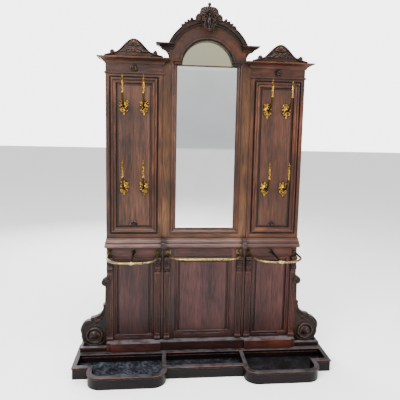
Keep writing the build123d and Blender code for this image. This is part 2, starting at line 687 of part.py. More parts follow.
def arch_cornice():
    """The moulding over the arch: a section turned about the arch's centre."""
    face = ARCH_BOARD_Y
    section = make_face(moulding_line([
        (ARCH_EDGE - 20, face, 0), (ARCH_EDGE - 20, face - 7, 0), (ARCH_EDGE - 15, face - 10, 0),
        (ARCH_EDGE - 3, face - 32, 4), (ARCH_EDGE, face - 36, 0), (ARCH_RADIUS - 2, face - 38, 0),
        (ARCH_RADIUS, face - ARCH_CORNICE_DEPTH, 0), (ARCH_RADIUS, face + 40, 0), (ARCH_EDGE, face + 40, 0),
        (ARCH_EDGE, face, 0), (ARCH_EDGE - 20, face, 0)], as_drawn))
    ring = revolve(section, axis=Axis.Y)
    above_ears = board(-EAR_TIP, EAR_TIP, 0, BACK_Y, EAR_HIGH - ARCH_CENTER, 2 * ARCH_RADIUS)
    return Pos(0, 0, ARCH_CENTER) * (ring & above_ears)


def arch_ear():
    """A flat moulded return at the arch's foot, on a bracket with a hollow edge."""
    section = [(2, EAR_LOW, 0), (6, EAR_LOW + 4, 1), (7, EAR_LOW + 6, 0), (34, EAR_LOW + 25, -2),
               (37, EAR_LOW + 26, 0), (42, EAR_LOW + 30, 1), (42, EAR_HIGH, 0)]
    top = moulded_block(226, EAR_TIP - 42, ARCH_BOARD_Y, ARCH_BOARD_Y + 40, section, right=True)
    top -= board(0, ARCH_BOARD_HALF, ARCH_BOARD_Y, BACK_Y, EAR_LOW, EAR_HIGH)
    hollow = outline([(ARCH_BOARD_HALF, CORNICE_HIGH, 0), (256, CORNICE_HIGH, 0), (298, EAR_LOW, -14),
                      (ARCH_BOARD_HALF, EAR_LOW, 0)])
    return top + upright(hollow, ARCH_BOARD_Y - 2, ARCH_BOARD_Y + 26)


def crown():
    """The crown cartouche: a shell on a shield between volutes, with a finial and leaf sprays."""
    arch_face = ARCH_BOARD_Y - ARCH_CORNICE_DEPTH
    arch_top = ARCH_CENTER + ARCH_RADIUS
    half_outline = [(0, 2222, 0), (22, 2244, 3), (34, 2276, 4), (84, 2282, -2), (90, 2304, 3),
                    (76, 2328, 6), (61, 2334, 2), (60, 2350, 2), (46, 2369, 5), (12, 2376, 2),
                    (10, 2390, -1), (0, TOTAL_HEIGHT, 4)]
    shape = outline(half_outline)
    hanging = upright(shape, CROWN_Y, arch_face)
    upper = upright(shape, arch_face, arch_face + 30) & board(0, 200, 0, BACK_Y, arch_top,
                                                              TOTAL_HEIGHT)
    return hanging + flipped(hanging) + upper + flipped(upper)


# ---- back and sides of the case ----
def case_sides():
    """Side boards and the partitions behind the seams, below and above the waist."""
    solids = []
    y_low = FACE_Y + BOARD
    for z_low, z_high in ((PLINTH_TOP, WAIST_LOW), (WAIST_HIGH, CORNICE_LOW)):
        side = board(WING_EDGE - SIDE_BOARD, WING_EDGE, y_low, CASE_BACK_Y, z_low, z_high)
        partition = board(CENTER_EDGE, CENTER_EDGE + PARTITION, y_low, CASE_BACK_Y, z_low, z_high)
        solids += both_sides(side) + both_sides(partition)
    return solids


def back_boards():
    """Upright planks that close the back."""
    solids = []
    bays = ((-WING_EDGE, -CENTER_EDGE), (-CENTER_EDGE, CENTER_EDGE), (CENTER_EDGE, WING_EDGE))
    for x_low, x_high in bays:
        planks = round((x_high - x_low) / PLANK_WIDTH)
        width = (x_high - x_low) / planks
        for number in range(planks):
            start = x_low + number * width
            solids.append(board(start + PLANK_GAP / 2, start + width - PLANK_GAP / 2,
                                CASE_BACK_Y, BACK_Y, BASE_TOP, CORNICE_LOW))
    return solids


def arch_back():
    """The board behind the half-round glass."""
    shape = Pos(0, ARCH_CENTER) * Circle(ARCH_EDGE)
    y_low = ARCH_BOARD_Y + BOARD + GLASS
    half_round = upright(shape, y_low, ARCH_BOARD_Y + 40)
    return half_round & board(-ARCH_BOARD_HALF, ARCH_BOARD_HALF, 0, BACK_Y, CORNICE_LOW,
                              TOTAL_HEIGHT)


# ---- brass ----
def umbrella_rail(x_middle, half_width, reach):
    """A tube from one rosette, round two corners and back to another."""
    axis_y = FACE_Y - reach + TUBE / 2
    wall_y = FACE_Y - ROSETTE_DEPTH
    x_low = x_middle - half_width
    x_high = x_middle + half_width
    path = FilletPolyline((x_low, wall_y, RAIL_Z), (x_low, axis_y, RAIL_Z), (x_high, axis_y, RAIL_Z),
                          (x_high, wall_y, RAIL_Z), radius=RAIL_CORNER)
    return sweep(Plane(origin=path @ 0, z_dir=path % 0) * Circle(TUBE / 2), path=path)


def wing_umbrella_rail(x_middle):
    """A wing's rail, with a thin arm from the frieze to a knob in the middle of its front."""
    axis_y = FACE_Y - WING_RAIL_REACH + TUBE / 2
    wall_y = FACE_Y - ROSETTE_DEPTH
    arm = Pos(x_middle, (wall_y + axis_y) / 2, RAIL_Z) * Rot(90, 0, 0)
    arm *= Cylinder(RAIL_ARM, wall_y - axis_y)
    knob = Pos(x_middle, axis_y, RAIL_Z) * Sphere(KNOB)
    tube = umbrella_rail(x_middle, WING_RAIL_HALF, WING_RAIL_REACH)
    return tube + knob + arm


def wall_rosette(x_middle):
    """A round flange on the frieze rail, with a raised hub."""
    flange = disc(x_middle, RAIL_Z, ROSETTE_RADIUS, FACE_Y - ROSETTE_DEPTH / 2, FACE_Y)
    hub = disc(x_middle, RAIL_Z, ROSETTE_RADIUS - 6, FACE_Y - ROSETTE_DEPTH,
               FACE_Y - ROSETTE_DEPTH / 2)
    return flange + hub


def coat_hook(x, z):
    """A leafy back plate with a long prong: out, up, a ring, a ball and a spike."""
    plate_y = FACE_Y + FIELD_RECESS
    leaf = Ellipse(17, 30)
    for side in (-1, 1):
        leaf += Pos(side * 18, 22) * Circle(11)
        leaf += Pos(side * 20, -2) * Circle(9)
        leaf += Pos(side * 17, -24) * Circle(11)
    leaf += Pos(0, 33) * Circle(8)
    leaf += make_face(Polyline((-10, -24), (10, -24), (4, -62), (-4, -62), close=True).edges())
    plate = upright(Pos(x, z) * leaf, plate_y - HOOK_PLATE, plate_y)

    prong_y = plate_y - HOOK_REACH
    prong_low = z + PRONG_LOW
    prong_high = prong_low + PRONG_LENGTH
    path = Curve() + [
        ThreePointArc((x, plate_y - 6, z - 4), (x, plate_y - 92, z + 14), (x, prong_y, prong_low))]
    arm = sweep(Plane(origin=path @ 0, z_dir=path % 0) * Circle(6.5), path=path)
    from_below = (Align.CENTER, Align.CENTER, Align.MIN)
    joint = Pos(x, prong_y, prong_low) * Sphere(8)
    prong = Pos(x, prong_y, prong_low) * Cylinder(7, PRONG_LENGTH, align=from_below)
    ring = Pos(x, prong_y, prong_high + 2) * Cylinder(10.5, 6)
    ball = Pos(x, prong_y, prong_high + 12) * Sphere(9.5)
    spike = Pos(x, prong_y, prong_high + 16) * Cone(6, 1.5, 26, align=from_below)
    return plate + arm + joint + prong + ring + ball + spike


def hook_screws(x, z):
    """The two round screw heads that hold a hook's plate."""
    plate_front = FACE_Y + FIELD_RECESS - HOOK_PLATE
    heads = []
    for offset in SCREW_PLACES:
        heads.append(disc(x, z + offset, 3.5, plate_front - 2, plate_front))
    return heads


# ---- the whole piece ----
node("base_floor_boards", *floor_boards())
node("base_front_rails", *front_rails())
node("bow_wall_right", bow_wall())
node("bow_wall_left", flipped(bow_wall()))
node("base_end_boards", *both_sides(end_section(END_RAIL_BACK_Y, CASE_BACK_Y)))
node("base_back_rail", board(-BASE_HALF_WIDTH + NOSING, BASE_HALF_WIDTH - NOSING, CASE_BACK_Y, BACK_Y,
                             0, BASE_TOP))
node("base_deck", deck())
node("well_boards", *well_boards())
node("drip_pan_left", flipped(drip_pan_wing()))
node("drip_pan_center", drip_pan_center())
node("drip_pan_right", drip_pan_wing())

node("plinth_left", flipped(plinth_wing()))
node("plinth_center", moulded_block(-CENTER_EDGE, CENTER_EDGE, CENTER_PLINTH_Y, CASE_BACK_Y,
                                    plinth_section(PLINTH_TOP)))
node("plinth_right", plinth_wing())
node("scroll_blocks", *both_sides(scroll_block()))
node("scroll_bracket_left", flipped(scroll_bracket()))
node("scroll_bracket_right", scroll_bracket())
node("scroll_bosses", *both_sides(scroll_boss()))

BAYS = {"left": (-WING_X, "wing"), "center": (0, "center"), "right": (WING_X, "wing")}
rails = []
mouldings = []
for bay, (bay_x, bay_kind) in BAYS.items():
    node("lower_panel_" + bay, lower_panel(bay_x, bay_kind))
    rails += lower_rail_pair(bay_x, bay_kind)
    mouldings += lower_moulding(bay_x, bay_kind)
node("lower_stiles", *lower_stiles())
node("lower_rails", *rails)
node("lower_panel_mouldings", *mouldings)

PILASTER_PLACES = [WING_X - PILASTER_OFFSET, WING_X + PILASTER_OFFSET, CENTER_PILASTER_X]
PILASTER_PLACES += [-x for x in PILASTER_PLACES]
node("pilasters", *[pilaster(x) for x in PILASTER_PLACES])
node("pilaster_corbels", *[corbel(x) for x in PILASTER_PLACES])
node("waist_mouldings", *waist_mouldings(), *both_sides(waist_key()))

node("wing_stiles", *wing_stiles(-WING_X), *wing_stiles(WING_X))
node("wing_rails", *wing_rails(-WING_X), *wing_rails(WING_X))
node("wing_panel_mouldings", *wing_moulding(-WING_X), *wing_moulding(WING_X))
node("wing_panel_left", wing_panel(-WING_X))
node("wing_panel_right", wing_panel(WING_X))
node("wing_cornice_left", flipped(wing_cornice()))
node("wing_cornice_right", wing_cornice())
node("wing_ornaments", *both_sides(frieze_rosette(WING_X)), *both_sides(fan_ornament(WING_X)))
node("wing_crest_left", wing_crest(-WING_X))
node("wing_crest_right", wing_crest(WING_X))

node("mirror_stiles", *mirror_stiles())
node("mirror_moulding", *mirror_moulding())
node("mirror_glass", lower_glass())
node("arch_glass", arch_glass())
node("arch_board", arch_board())
node("arch_cornice", arch_cornice())
node("arch_ears", *both_sides(arch_ear()))
node("crown_cartouche", crown())
node("case_sides", *case_sides())
node("back_boards", *back_boards(), arch_back())

node("umbrella_rail_left", wing_umbrella_rail(-WING_X))
node("umbrella_rail_center", umbrella_rail(0, CENTER_RAIL_X, CENTER_RAIL_REACH))
node("umbrella_rail_right", wing_umbrella_rail(WING_X))
rosette_places = [CENTER_RAIL_X, WING_X - WING_RAIL_HALF, WING_X, WING_X + WING_RAIL_HALF]
rosette_places += [-x for x in rosette_places]
node("rail_rosettes", *[wall_rosette(x) for x in rosette_places])

screws = []
for row_name, hook_z in HOOK_HEIGHTS.items():
    for side_name, side in (("left", -1), ("right", 1)):
        for place_name, place in (("outer", 1), ("inner", -1)):
            hook_x = side * (WING_X + place * HOOK_X)
            node("coat_hook_" + "_".join((row_name, side_name, place_name)), coat_hook(hook_x, hook_z))
            screws += hook_screws(hook_x, hook_z)
node("hook_screws", *screws)

os.makedirs("parts", exist_ok=True)
for name, shape in nodes.items():
    export_step(shape, "parts/" + name + ".step")
print(len(nodes), "nodes")
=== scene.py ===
import json
import random
from math import cos, exp, pi, radians, sin, sqrt

import bmesh
import bpy
from mathutils import Matrix, Vector

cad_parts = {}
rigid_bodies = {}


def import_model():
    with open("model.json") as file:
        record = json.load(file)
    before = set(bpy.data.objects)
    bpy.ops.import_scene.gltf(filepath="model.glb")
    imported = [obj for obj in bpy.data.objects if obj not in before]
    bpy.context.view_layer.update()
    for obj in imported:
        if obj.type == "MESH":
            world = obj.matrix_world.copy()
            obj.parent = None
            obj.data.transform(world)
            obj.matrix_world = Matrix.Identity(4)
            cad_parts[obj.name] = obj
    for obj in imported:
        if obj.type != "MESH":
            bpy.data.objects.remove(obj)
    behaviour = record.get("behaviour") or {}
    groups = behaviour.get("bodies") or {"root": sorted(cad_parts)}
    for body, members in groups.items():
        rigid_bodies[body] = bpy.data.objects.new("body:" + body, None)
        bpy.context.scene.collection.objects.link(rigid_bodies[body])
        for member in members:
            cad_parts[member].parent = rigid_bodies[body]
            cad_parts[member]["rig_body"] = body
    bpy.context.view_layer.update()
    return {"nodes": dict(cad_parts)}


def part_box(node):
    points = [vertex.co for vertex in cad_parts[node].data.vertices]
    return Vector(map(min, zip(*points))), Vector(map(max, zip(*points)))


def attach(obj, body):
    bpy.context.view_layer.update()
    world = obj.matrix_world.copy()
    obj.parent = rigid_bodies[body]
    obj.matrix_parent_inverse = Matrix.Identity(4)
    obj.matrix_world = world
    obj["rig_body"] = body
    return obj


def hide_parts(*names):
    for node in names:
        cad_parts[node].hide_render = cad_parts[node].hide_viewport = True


# A carved hall tree. The CAD timbers get eased edges, grain along each board and old polish, and the
# carvings, brass and glass are built here in detail. Pieces are drawn in millimetres, and a Carving
# turns them into metres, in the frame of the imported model.

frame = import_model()
NODES = frame["nodes"]
MM = 0.001
FRAME_BODY = "hall_tree"


def slot_of(node):
    return NODES[node].data.materials[0].name


def box_mm(node):
    low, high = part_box(node)
    return low / MM, high / MM


def placed(name, data):
    """A new object in the scene, with that mesh, lamp or camera."""
    made = bpy.data.objects.new(name, data)
    bpy.context.scene.collection.objects.link(made)
    return made


# ---- materials ----
def rgb(red, green, blue):
    """A linear colour from values of 0 to 255."""
    def linear(value):
        value /= 255
        return value / 12.92 if value <= 0.04045 else ((value + 0.055) / 1.055) ** 2.4
    return (linear(red), linear(green), linear(blue), 1.0)


# The sockets of a Mix node that are used for colours.
MIX_FACTOR = 0
MIX_A = 6
MIX_B = 7
MIX_RESULT = 2


class Graph:
    """Short words for the nodes of a material or a world. A value may be a socket or a constant."""

    def __init__(self, name, kind=bpy.data.materials):
        self.owner = kind.new(name)
        self.owner.use_nodes = True
        self.tree = self.owner.node_tree
        self.tree.nodes.clear()

    def node(self, kind, inputs=None, **settings):
        made = self.tree.nodes.new(kind)
        for key, value in settings.items():
            setattr(made, key, value)
        for key, value in (inputs or {}).items():
            if isinstance(value, bpy.types.NodeSocket):
                self.tree.links.new(value, made.inputs[key])
            else:
                made.inputs[key].default_value = value
        return made

    def math(self, operation, first, second=0.0):
        return self.node("ShaderNodeMath", {0: first, 1: second}, operation=operation).outputs[0]

    def product(self, first, second):
        return self.math("MULTIPLY", first, second)

    def total(self, first, second):
        return self.math("ADD", first, second)

    def vector(self, operation, first, second=(0, 0, 0)):
        made = self.node("ShaderNodeVectorMath", {0: first, 1: second}, operation=operation)
        return made.outputs["Value" if operation == "DOT_PRODUCT" else "Vector"]

    def scaled(self, vector, factor):
        made = self.node("ShaderNodeVectorMath", {0: vector, "Scale": factor}, operation="SCALE")
        return made.outputs["Vector"]

    def noise(self, vector, scale, detail=2.0, roughness=0.5):
        inputs = {"Vector": vector, "Scale": scale, "Detail": detail, "Roughness": roughness}
        return self.node("ShaderNodeTexNoise", inputs).outputs["Fac"]

    def between(self, value, low, high, out_low=0.0, out_high=1.0, clamp=True):
        inputs = {"Value": value, "From Min": low, "From Max": high,
                  "To Min": out_low, "To Max": out_high}
        return self.node("ShaderNodeMapRange", inputs, clamp=clamp).outputs["Result"]

    def ramp(self, value, *stops):
        made = self.node("ShaderNodeValToRGB", {"Fac": value})
        elements = made.color_ramp.elements
        while len(elements) < len(stops):
            elements.new(0.5)
        for element, (position, colour) in zip(elements, stops):
            element.position = position
            element.color = colour
        return made.outputs["Color"]

    def mix(self, factor, first, second, blend="MIX"):
        inputs = {MIX_FACTOR: factor, MIX_A: first, MIX_B: second}
        made = self.node("ShaderNodeMix", inputs, data_type="RGBA", blend_type=blend)
        return made.outputs[MIX_RESULT]

    def tinted(self, colour, tint):
        return self.mix(1.0, colour, tint, "MULTIPLY")

    def shaded(self, colour, shade):
        """The colour, darkened where shade is below 1 and lightened where it is above."""
        return self.tinted(colour, self.joined(shade, shade, shade))

    def joined(self, x, y, z=0.0):
        return self.node("ShaderNodeCombineXYZ", {0: x, 1: y, 2: z}).outputs[0]

    def parts(self, vector):
        return self.node("ShaderNodeSeparateXYZ", {"Vector": vector}).outputs

    def tone(self):
        return self.node("ShaderNodeAttribute", attribute_name="tone").outputs["Fac"]

    def place(self):
        return self.node("ShaderNodeTexCoord").outputs["Object"]

    def hollow(self, distance):
        """Near 0 deep in a corner or a carved hollow, and 1 in the open."""
        inputs = {"Distance": distance}
        return self.node("ShaderNodeAmbientOcclusion", inputs, samples=6).outputs["AO"]

    def edge(self, radius):
        """Above 0 where the surface turns sharply within the radius."""
        rounded = self.node("ShaderNodeBevel", {"Radius": radius}, samples=4).outputs["Normal"]
        true_normal = self.node("ShaderNodeNewGeometry").outputs["Normal"]
        return self.math("SUBTRACT", 1.0, self.vector("DOT_PRODUCT", rounded, true_normal))

    def upward(self):
        """1 on a face that looks straight up, and 0 on an upright one."""
        return self.parts(self.node("ShaderNodeNewGeometry").outputs["Normal"])["Z"]

    def surface(self, height, distance, strength=0.5, **inputs):
        """Ends the material, with a bump from the height and the shader's other inputs by name."""
        bump = self.node("ShaderNodeBump", {"Height": height, "Distance": distance,
                                            "Strength": strength})
        shader_inputs = {key.replace("_", " "): value for key, value in inputs.items()}
        shader_inputs["Normal"] = bump.outputs["Normal"]
        shader = self.node("ShaderNodeBsdfPrincipled", shader_inputs)
        self.node("ShaderNodeOutputMaterial", {"Surface": shader.outputs["BSDF"]})
        return self.owner


WHITE = (1.0, 1.0, 1.0, 1.0)
# The near-black colour of the painted shade laid into hollows, corners and grooves.
HOLLOW_SHADE = rgb(7, 4, 3)
HOLLOW_SHADE_RANGE = (0.3, 0.92, 0.95, 0.0)      # painted shade in hollows: full where 0.3 of the air is open, and none above 0.92


def wood(name, deep, middle, light, dust=0.5, gloss=0.36, worn=0.5, coat=0.04, shine=0.2, rim=0.0,
         show=True):
    """Old wood: streaks and pores along each board's own grain, painted shade in the hollows, paler edges
    that are partly wear and partly a painted highlight, and a dusty grey on what faces up that is partly
    a painted sheen. The show wood is warmer to the right, plum-coloured below the waist and darker towards
    the floor. rim is how strong the painted highlight along the rounded rim of the base is."""
    graph = Graph(name)
    grain = graph.node("ShaderNodeAttribute", attribute_name="grain").outputs["Vector"]
    tone = graph.tone()
    here = graph.place()
    along = graph.vector("DOT_PRODUCT", here, grain)
    squeeze = graph.scaled(grain, graph.product(along, -0.93))
    shift = graph.joined(graph.product(tone, 7.3), graph.product(tone, 3.1), graph.product(tone, 5.7))
    board = graph.vector("ADD", graph.vector("ADD", here, squeeze), shift)

    broad = graph.noise(board, 13.0, 3.0)
    figure = graph.math("SINE", graph.product(broad, 85.0))
    streak = graph.noise(board, 170.0, 5.0, 0.65)
    fibre = graph.noise(board, 900.0, 2.0)
    pore = graph.between(graph.noise(board, 1500.0, 1.0), 0.60, 0.72)
    stain = graph.noise(here, 3.2, 3.0)

    amount = graph.total(graph.product(streak, 0.55), graph.product(broad, 0.35))
    amount = graph.total(amount, graph.product(figure, 0.035))
    amount = graph.total(amount, graph.product(graph.math("SUBTRACT", stain, 0.5), 0.45))
    colour = graph.ramp(amount, (0.28, deep), (0.46, middle), (0.66, light))
    shade = graph.product(graph.between(tone, 0.0, 1.0, 0.8, 1.2, clamp=False),
                          graph.between(pore, 0.0, 1.0, 1.0, 0.6))
    colour = graph.shaded(colour, shade)

    spot = graph.parts(here)
    if show:
        warm = graph.mix(graph.between(spot["X"], 0.2, 0.65), WHITE, (1.12, 0.84, 0.64, 1.0))
        plum = graph.mix(graph.between(spot["Z"], 0.74, 0.84), (0.74, 0.62, 1.0, 1.0), WHITE)
        colour = graph.tinted(graph.tinted(colour, warm), plum)
    # Darker towards the floor: half as bright below 0.08 m, and full above 0.45 m.
    colour = graph.shaded(colour, graph.between(spot["Z"], 0.08, 0.45, 0.5, 1.0))

    open_air = graph.hollow(0.03)
    # Paler edges, partly wear and partly a painted highlight: a light colour in patches on sharp edges out
    # in the open.
    sharp = graph.product(graph.between(graph.edge(0.0025), 0.02, 0.16),
                          graph.between(open_air, 0.55, 0.8))
    sharp = graph.product(sharp, graph.between(graph.noise(here, 60.0, 3.0), 0.35, 0.6))
    colour = graph.mix(graph.product(sharp, worn), colour, rgb(140, 102, 82))
    # Painted shade: near-black in the hollows, corners and grooves.
    colour = graph.mix(graph.between(open_air, *HOLLOW_SHADE_RANGE), colour, HOLLOW_SHADE)
    # Dusty grey on faces that look up, mostly low down: partly dust and partly a painted sheen of the sky
    # on the tops.
    dust_and_sheen = graph.product(graph.between(graph.upward(), 0.7, 0.97, 0.0, dust),
                            graph.between(graph.noise(here, 18.0, 4.0), 0.35, 0.6, 0.25, 1.0))
    dust_and_sheen = graph.product(dust_and_sheen, graph.between(spot["Z"], 0.2, 0.4, 1.0, 0.15))
    colour = graph.mix(dust_and_sheen, colour, rgb(84, 80, 84))
    # Painted highlight: a reddish-brown colour in patches along the rounded rim of the base, on its faces
    # that slope up.
    if rim:
        slope = graph.upward()
        rounded = graph.product(graph.between(slope, 0.3, 0.7),
                                graph.between(slope, 0.8, 0.98, 1.0, 0.0))
        warm_patches = graph.between(graph.noise(here, 14.0, 4.0), 0.35, 0.6, 0.2, rim)
        rounded = graph.product(rounded, warm_patches)
        colour = graph.mix(rounded, colour, rgb(92, 62, 52))

    rough = graph.total(graph.between(streak, 0.3, 0.7, gloss + 0.10, gloss - 0.04),
                        graph.product(dust_and_sheen, 0.45))
    height = graph.total(graph.product(streak, 0.5), graph.product(fibre, 0.3))
    height = graph.math("SUBTRACT", height, graph.product(pore, 0.4))
    return graph.surface(height, 0.0006, 0.45, Base_Color=colour, Roughness=rough,
                         Specular_IOR_Level=shine, Coat_Weight=coat, Coat_Roughness=0.3)


ARCH_SPRING = 2.006      # metres, the height of the half-round glass's centre


def arch_wood(name):
    """The wood round the half-round glass: orange-brown in patches where the polish has gone, with painted
    shade in the reveal and on the imposts.
    """
    graph = Graph(name)
    here = graph.place()
    spot = graph.parts(here)
    across = graph.math("ABSOLUTE", spot["X"])
    rise = graph.math("SUBTRACT", spot["Z"], ARCH_SPRING)
    reach = graph.math("SQRT", graph.total(graph.math("POWER", across, 2.0),
                                           graph.math("POWER", rise, 2.0)))
    turn = graph.math("DIVIDE", across, reach)
    ray = graph.joined(graph.product(reach, 9.0), graph.product(turn, 0.4))
    streak = graph.noise(ray, 22.0, 5.0, 0.65)
    pore = graph.between(graph.noise(here, 1500.0, 1.0), 0.60, 0.72, 1.0, 0.6)
    patch = graph.noise(here, 9.0, 3.0)
    warm_patches = graph.product(graph.between(patch, 0.42, 0.62), graph.between(turn, 0.25, 0.6, 0.15, 1.0))
    plain = graph.ramp(streak, (0.3, rgb(13, 7, 5)), (0.5, rgb(36, 21, 14)), (0.72, rgb(64, 40, 28)))
    orange = graph.ramp(streak, (0.3, rgb(26, 11, 5)), (0.5, rgb(64, 30, 13)), (0.72, rgb(98, 52, 24)))
    colour = graph.mix(warm_patches, plain, orange)
    # Painted shade: the reveal inside the ring down to a quarter, and the imposts and the board below them
    # to 0.4.
    shade = graph.product(pore, graph.between(reach, 0.168, 0.185, 0.25, 1.0))
    beside_impost = graph.between(across, 0.222, 0.226)
    above_impost = graph.between(spot["Z"], 2.046, 2.056, 0.4, 1.0)
    shade = graph.product(shade, graph.math("MAXIMUM", beside_impost, above_impost))
    colour = graph.shaded(colour, shade)
    # Painted shade: near-black in the hollows and corners.
    colour = graph.mix(graph.between(graph.hollow(0.03), *HOLLOW_SHADE_RANGE), colour, HOLLOW_SHADE)
    rough = graph.between(streak, 0.3, 0.7, 0.48, 0.34)
    return graph.surface(streak, 0.0005, 0.4, Base_Color=colour, Roughness=rough,
                         Specular_IOR_Level=0.2)


def brass(name, bright, old, tarnish=0.5):
    """Cast brass, polished where hands reach and olive-dark in the hollows."""
    graph = Graph(name)
    here = graph.place()
    patches = graph.noise(here, 45.0, 4.0, 0.6)
    speckle = graph.noise(here, 420.0, 3.0)
    tone = graph.tone()
    open_air = graph.hollow(0.02)
    spots = graph.noise(here, 130.0, 2.0)
    dull = graph.math("MAXIMUM", graph.between(open_air, 0.55, 0.95, 1.0, 0.0),
                      graph.between(patches, 0.5, 0.72, 0.0, tarnish))
    dull = graph.math("MAXIMUM", dull, graph.product(graph.between(spots, 0.5, 0.6, 0.0, 2.0),
                                                     graph.between(tone, 0.0, 0.5)))
    dull = graph.math("MAXIMUM", dull, graph.between(tone, 0.0, 1.0, 0.0, 0.95))
    colour = graph.mix(graph.between(speckle, 0.3, 0.7, 0.0, 0.15), bright, old)
    colour = graph.mix(dull, colour, old)
    rough = graph.total(graph.between(dull, 0.0, 1.0, 0.2, 0.42),
                        graph.between(patches, 0.3, 0.7, 0.0, 0.08))
    return graph.surface(speckle, 0.0002, 0.12, Base_Color=colour, Roughness=rough, Metallic=1.0)


def silvered_glass(name, tint):
    """Old silvered glass: faint clouds, and dark spots where the silver has gone."""
    graph = Graph(name)
    here = graph.place()
    cloud = graph.noise(here, 5.0, 4.0)
    spots = graph.between(graph.noise(here, 70.0, 3.0, 0.6), 0.71, 0.76)
    colour = graph.mix(graph.between(cloud, 0.4, 0.75, 0.0, 0.22), tint, rgb(200, 200, 188))
    colour = graph.mix(graph.product(spots, 0.6), colour, rgb(70, 66, 58))
    rough = graph.total(graph.between(cloud, 0.4, 0.8, 0.03, 0.07), graph.product(spots, 0.4))
    return graph.surface(cloud, 0.0001, 0.02, Base_Color=colour, Roughness=rough, Metallic=1.0)


def zinc(name):
    """Tarnished zinc sheet: blue-grey crystals under dull water marks, browner where its tone is high."""
    graph = Graph(name)
    here = graph.place()
    tone = graph.tone()
    crystal = graph.node("ShaderNodeTexVoronoi", {"Vector": here, "Scale": 90.0}).outputs["Color"]
    crystal = graph.parts(crystal)["X"]
    marks = graph.noise(here, 9.0, 5.0, 0.6)
    colour = graph.ramp(graph.total(graph.product(crystal, 0.25), graph.product(marks, 0.75)),
                        (0.35, rgb(16, 17, 21)), (0.5, rgb(46, 50, 60)), (0.68, rgb(98, 102, 112)))
    colour = graph.mix(tone, colour, rgb(20, 15, 13))
    rough = graph.between(marks, 0.3, 0.7, 0.5, 0.7)
    return graph.surface(marks, 0.0004, 0.4, Base_Color=colour, Roughness=rough, Metallic=0.75)


def pale_floor(name):
    """A near-white studio floor with a faint mottle."""
    graph = Graph(name)
    here = graph.place()
    mottle = graph.noise(here, 2.0, 4.0)
    colour = graph.mix(mottle, rgb(246, 246, 245), rgb(251, 251, 250))
    return graph.surface(graph.noise(here, 90.0, 3.0), 0.0005, 0.1, Base_Color=colour, Roughness=0.85)


# Each wood's dark, middle and light colours, and how it differs from plain old wood.
WOODS = {
    "dark_wood": ((20, 10, 6), (55, 31, 19), (94, 57, 38), {}),
    "panel_wood": ((29, 16, 11), (61, 37, 26), (90, 60, 44), {"gloss": 0.42}),
    "center_wood": ((27, 16, 8), (66, 42, 24), (100, 68, 42), {}),
    "moulding_wood": ((20, 9, 5), (53, 28, 16), (98, 59, 38), {"worn": 0.8}),
    "carved_wood": ((9, 5, 4), (31, 18, 12), (74, 46, 32), {"worn": 0.8, "gloss": 0.3, "shine": 0.14}),
    "cornice_wood": ((9, 5, 4), (27, 15, 11), (58, 37, 28), {"worn": 0.45, "shine": 0.14}),
    "waist_wood": ((50, 34, 30), (85, 62, 55), (115, 88, 79), {"worn": 0.25}),
    "plinth_wood": ((25, 12, 7), (62, 34, 20), (102, 59, 36), {"dust": 0.7}),
    "base_wood": ((5, 3, 3), (13, 9, 9), (36, 24, 21),
                  {"dust": 0.4, "worn": 1.0, "coat": 0.0, "shine": 0.12, "rim": 1.0}),
    "back_wood": ((52, 36, 24), (92, 68, 46), (130, 100, 70),
                  {"gloss": 0.6, "worn": 0.2, "coat": 0.0, "show": False}),
    }
MATERIALS = {name: wood(name, rgb(*deep), rgb(*middle), rgb(*light), **options)
             for name, (deep, middle, light, options) in WOODS.items()}
MATERIALS["arch_wood"] = arch_wood("arch_wood")
MATERIALS["brass"] = brass("brass", rgb(190, 144, 62), rgb(40, 30, 12))
MATERIALS["old_brass"] = brass("old_brass", rgb(92, 84, 68), rgb(36, 32, 26), tarnish=0.9)
MATERIALS["rail_brass"] = brass("rail_brass", rgb(164, 142, 94), rgb(56, 47, 30), tarnish=0.7)
MATERIALS["mirror"] = silvered_glass("mirror", rgb(240, 242, 240))
MATERIALS["arch_mirror"] = silvered_glass("arch_mirror", rgb(204, 201, 168))
MATERIALS["zinc"] = zinc("zinc")


# ---- mesh tools ----
def mixed(start, end, factor):
    """The value between two others, at that share of the way."""
    return start + (end - start) * factor


def smooth_path(points, steps=8):
    """More points along a curve through the given ones."""
    points = [Vector(point) for point in points]
    ends = [points[0] * 2 - points[1]] + points + [points[-1] * 2 - points[-2]]
    path = []
    for before, start, end, after in zip(ends, ends[1:], ends[2:], ends[3:]):
        for step in range(steps):
            t = step / steps
            path.append(0.5 * (2 * start + (end - before) * t
                               + (2 * before - 5 * start + 4 * end - after) * t ** 2
                               + (3 * start - before - 3 * end + after) * t ** 3))
    return path + [points[-1]]


def shares(count):
    """Evenly spaced values from 0 to 1."""
    return [step / count for step in range(count + 1)]


def spread(count):
    """Evenly spaced values from -1 to 1."""
    return [step / count for step in range(-count, count + 1)]


def circle(center, across, other, sides):
    """Points round a centre, on the ellipse with these two half-axes."""
    points = []
    for step in range(sides):
        angle = 2 * pi * step / sides
        points.append(center + across * cos(angle) + other * sin(angle))
    return points


def two_way(half):
    """A turned profile from its half, which is given from the middle outwards."""
    return [(radius, -distance) for radius, distance in reversed(half) if distance] + half


def mirrored_path(points, steps, x=0.0, z=0.0, side=1):
    """A curve through points (across, depth, up) from a middle, turned to the left when side is -1."""
    return smooth_path([(x + side * across, y, z + up) for across, y, up in points], steps)


def heading(path, index):
    """The direction of a path of points at one of them."""
    before = path[max(index - 1, 0)]
    after = path[min(index + 1, len(path) - 1)]
    return (Vector(after) - Vector(before)).normalized()


def around(center, radius, angle, y):
    """The point at that angle round a centre (x, z), at one depth."""
    return Vector((center[0] + radius * cos(angle), y, center[1] + radius * sin(angle)))


def arc(center, radius, start, end, y, steps=16):
    """Points round a centre (x, z), from one angle to another in degrees, at one depth."""
    return [around(center, radius, radians(mixed(start, end, t)), y) for t in shares(steps)]


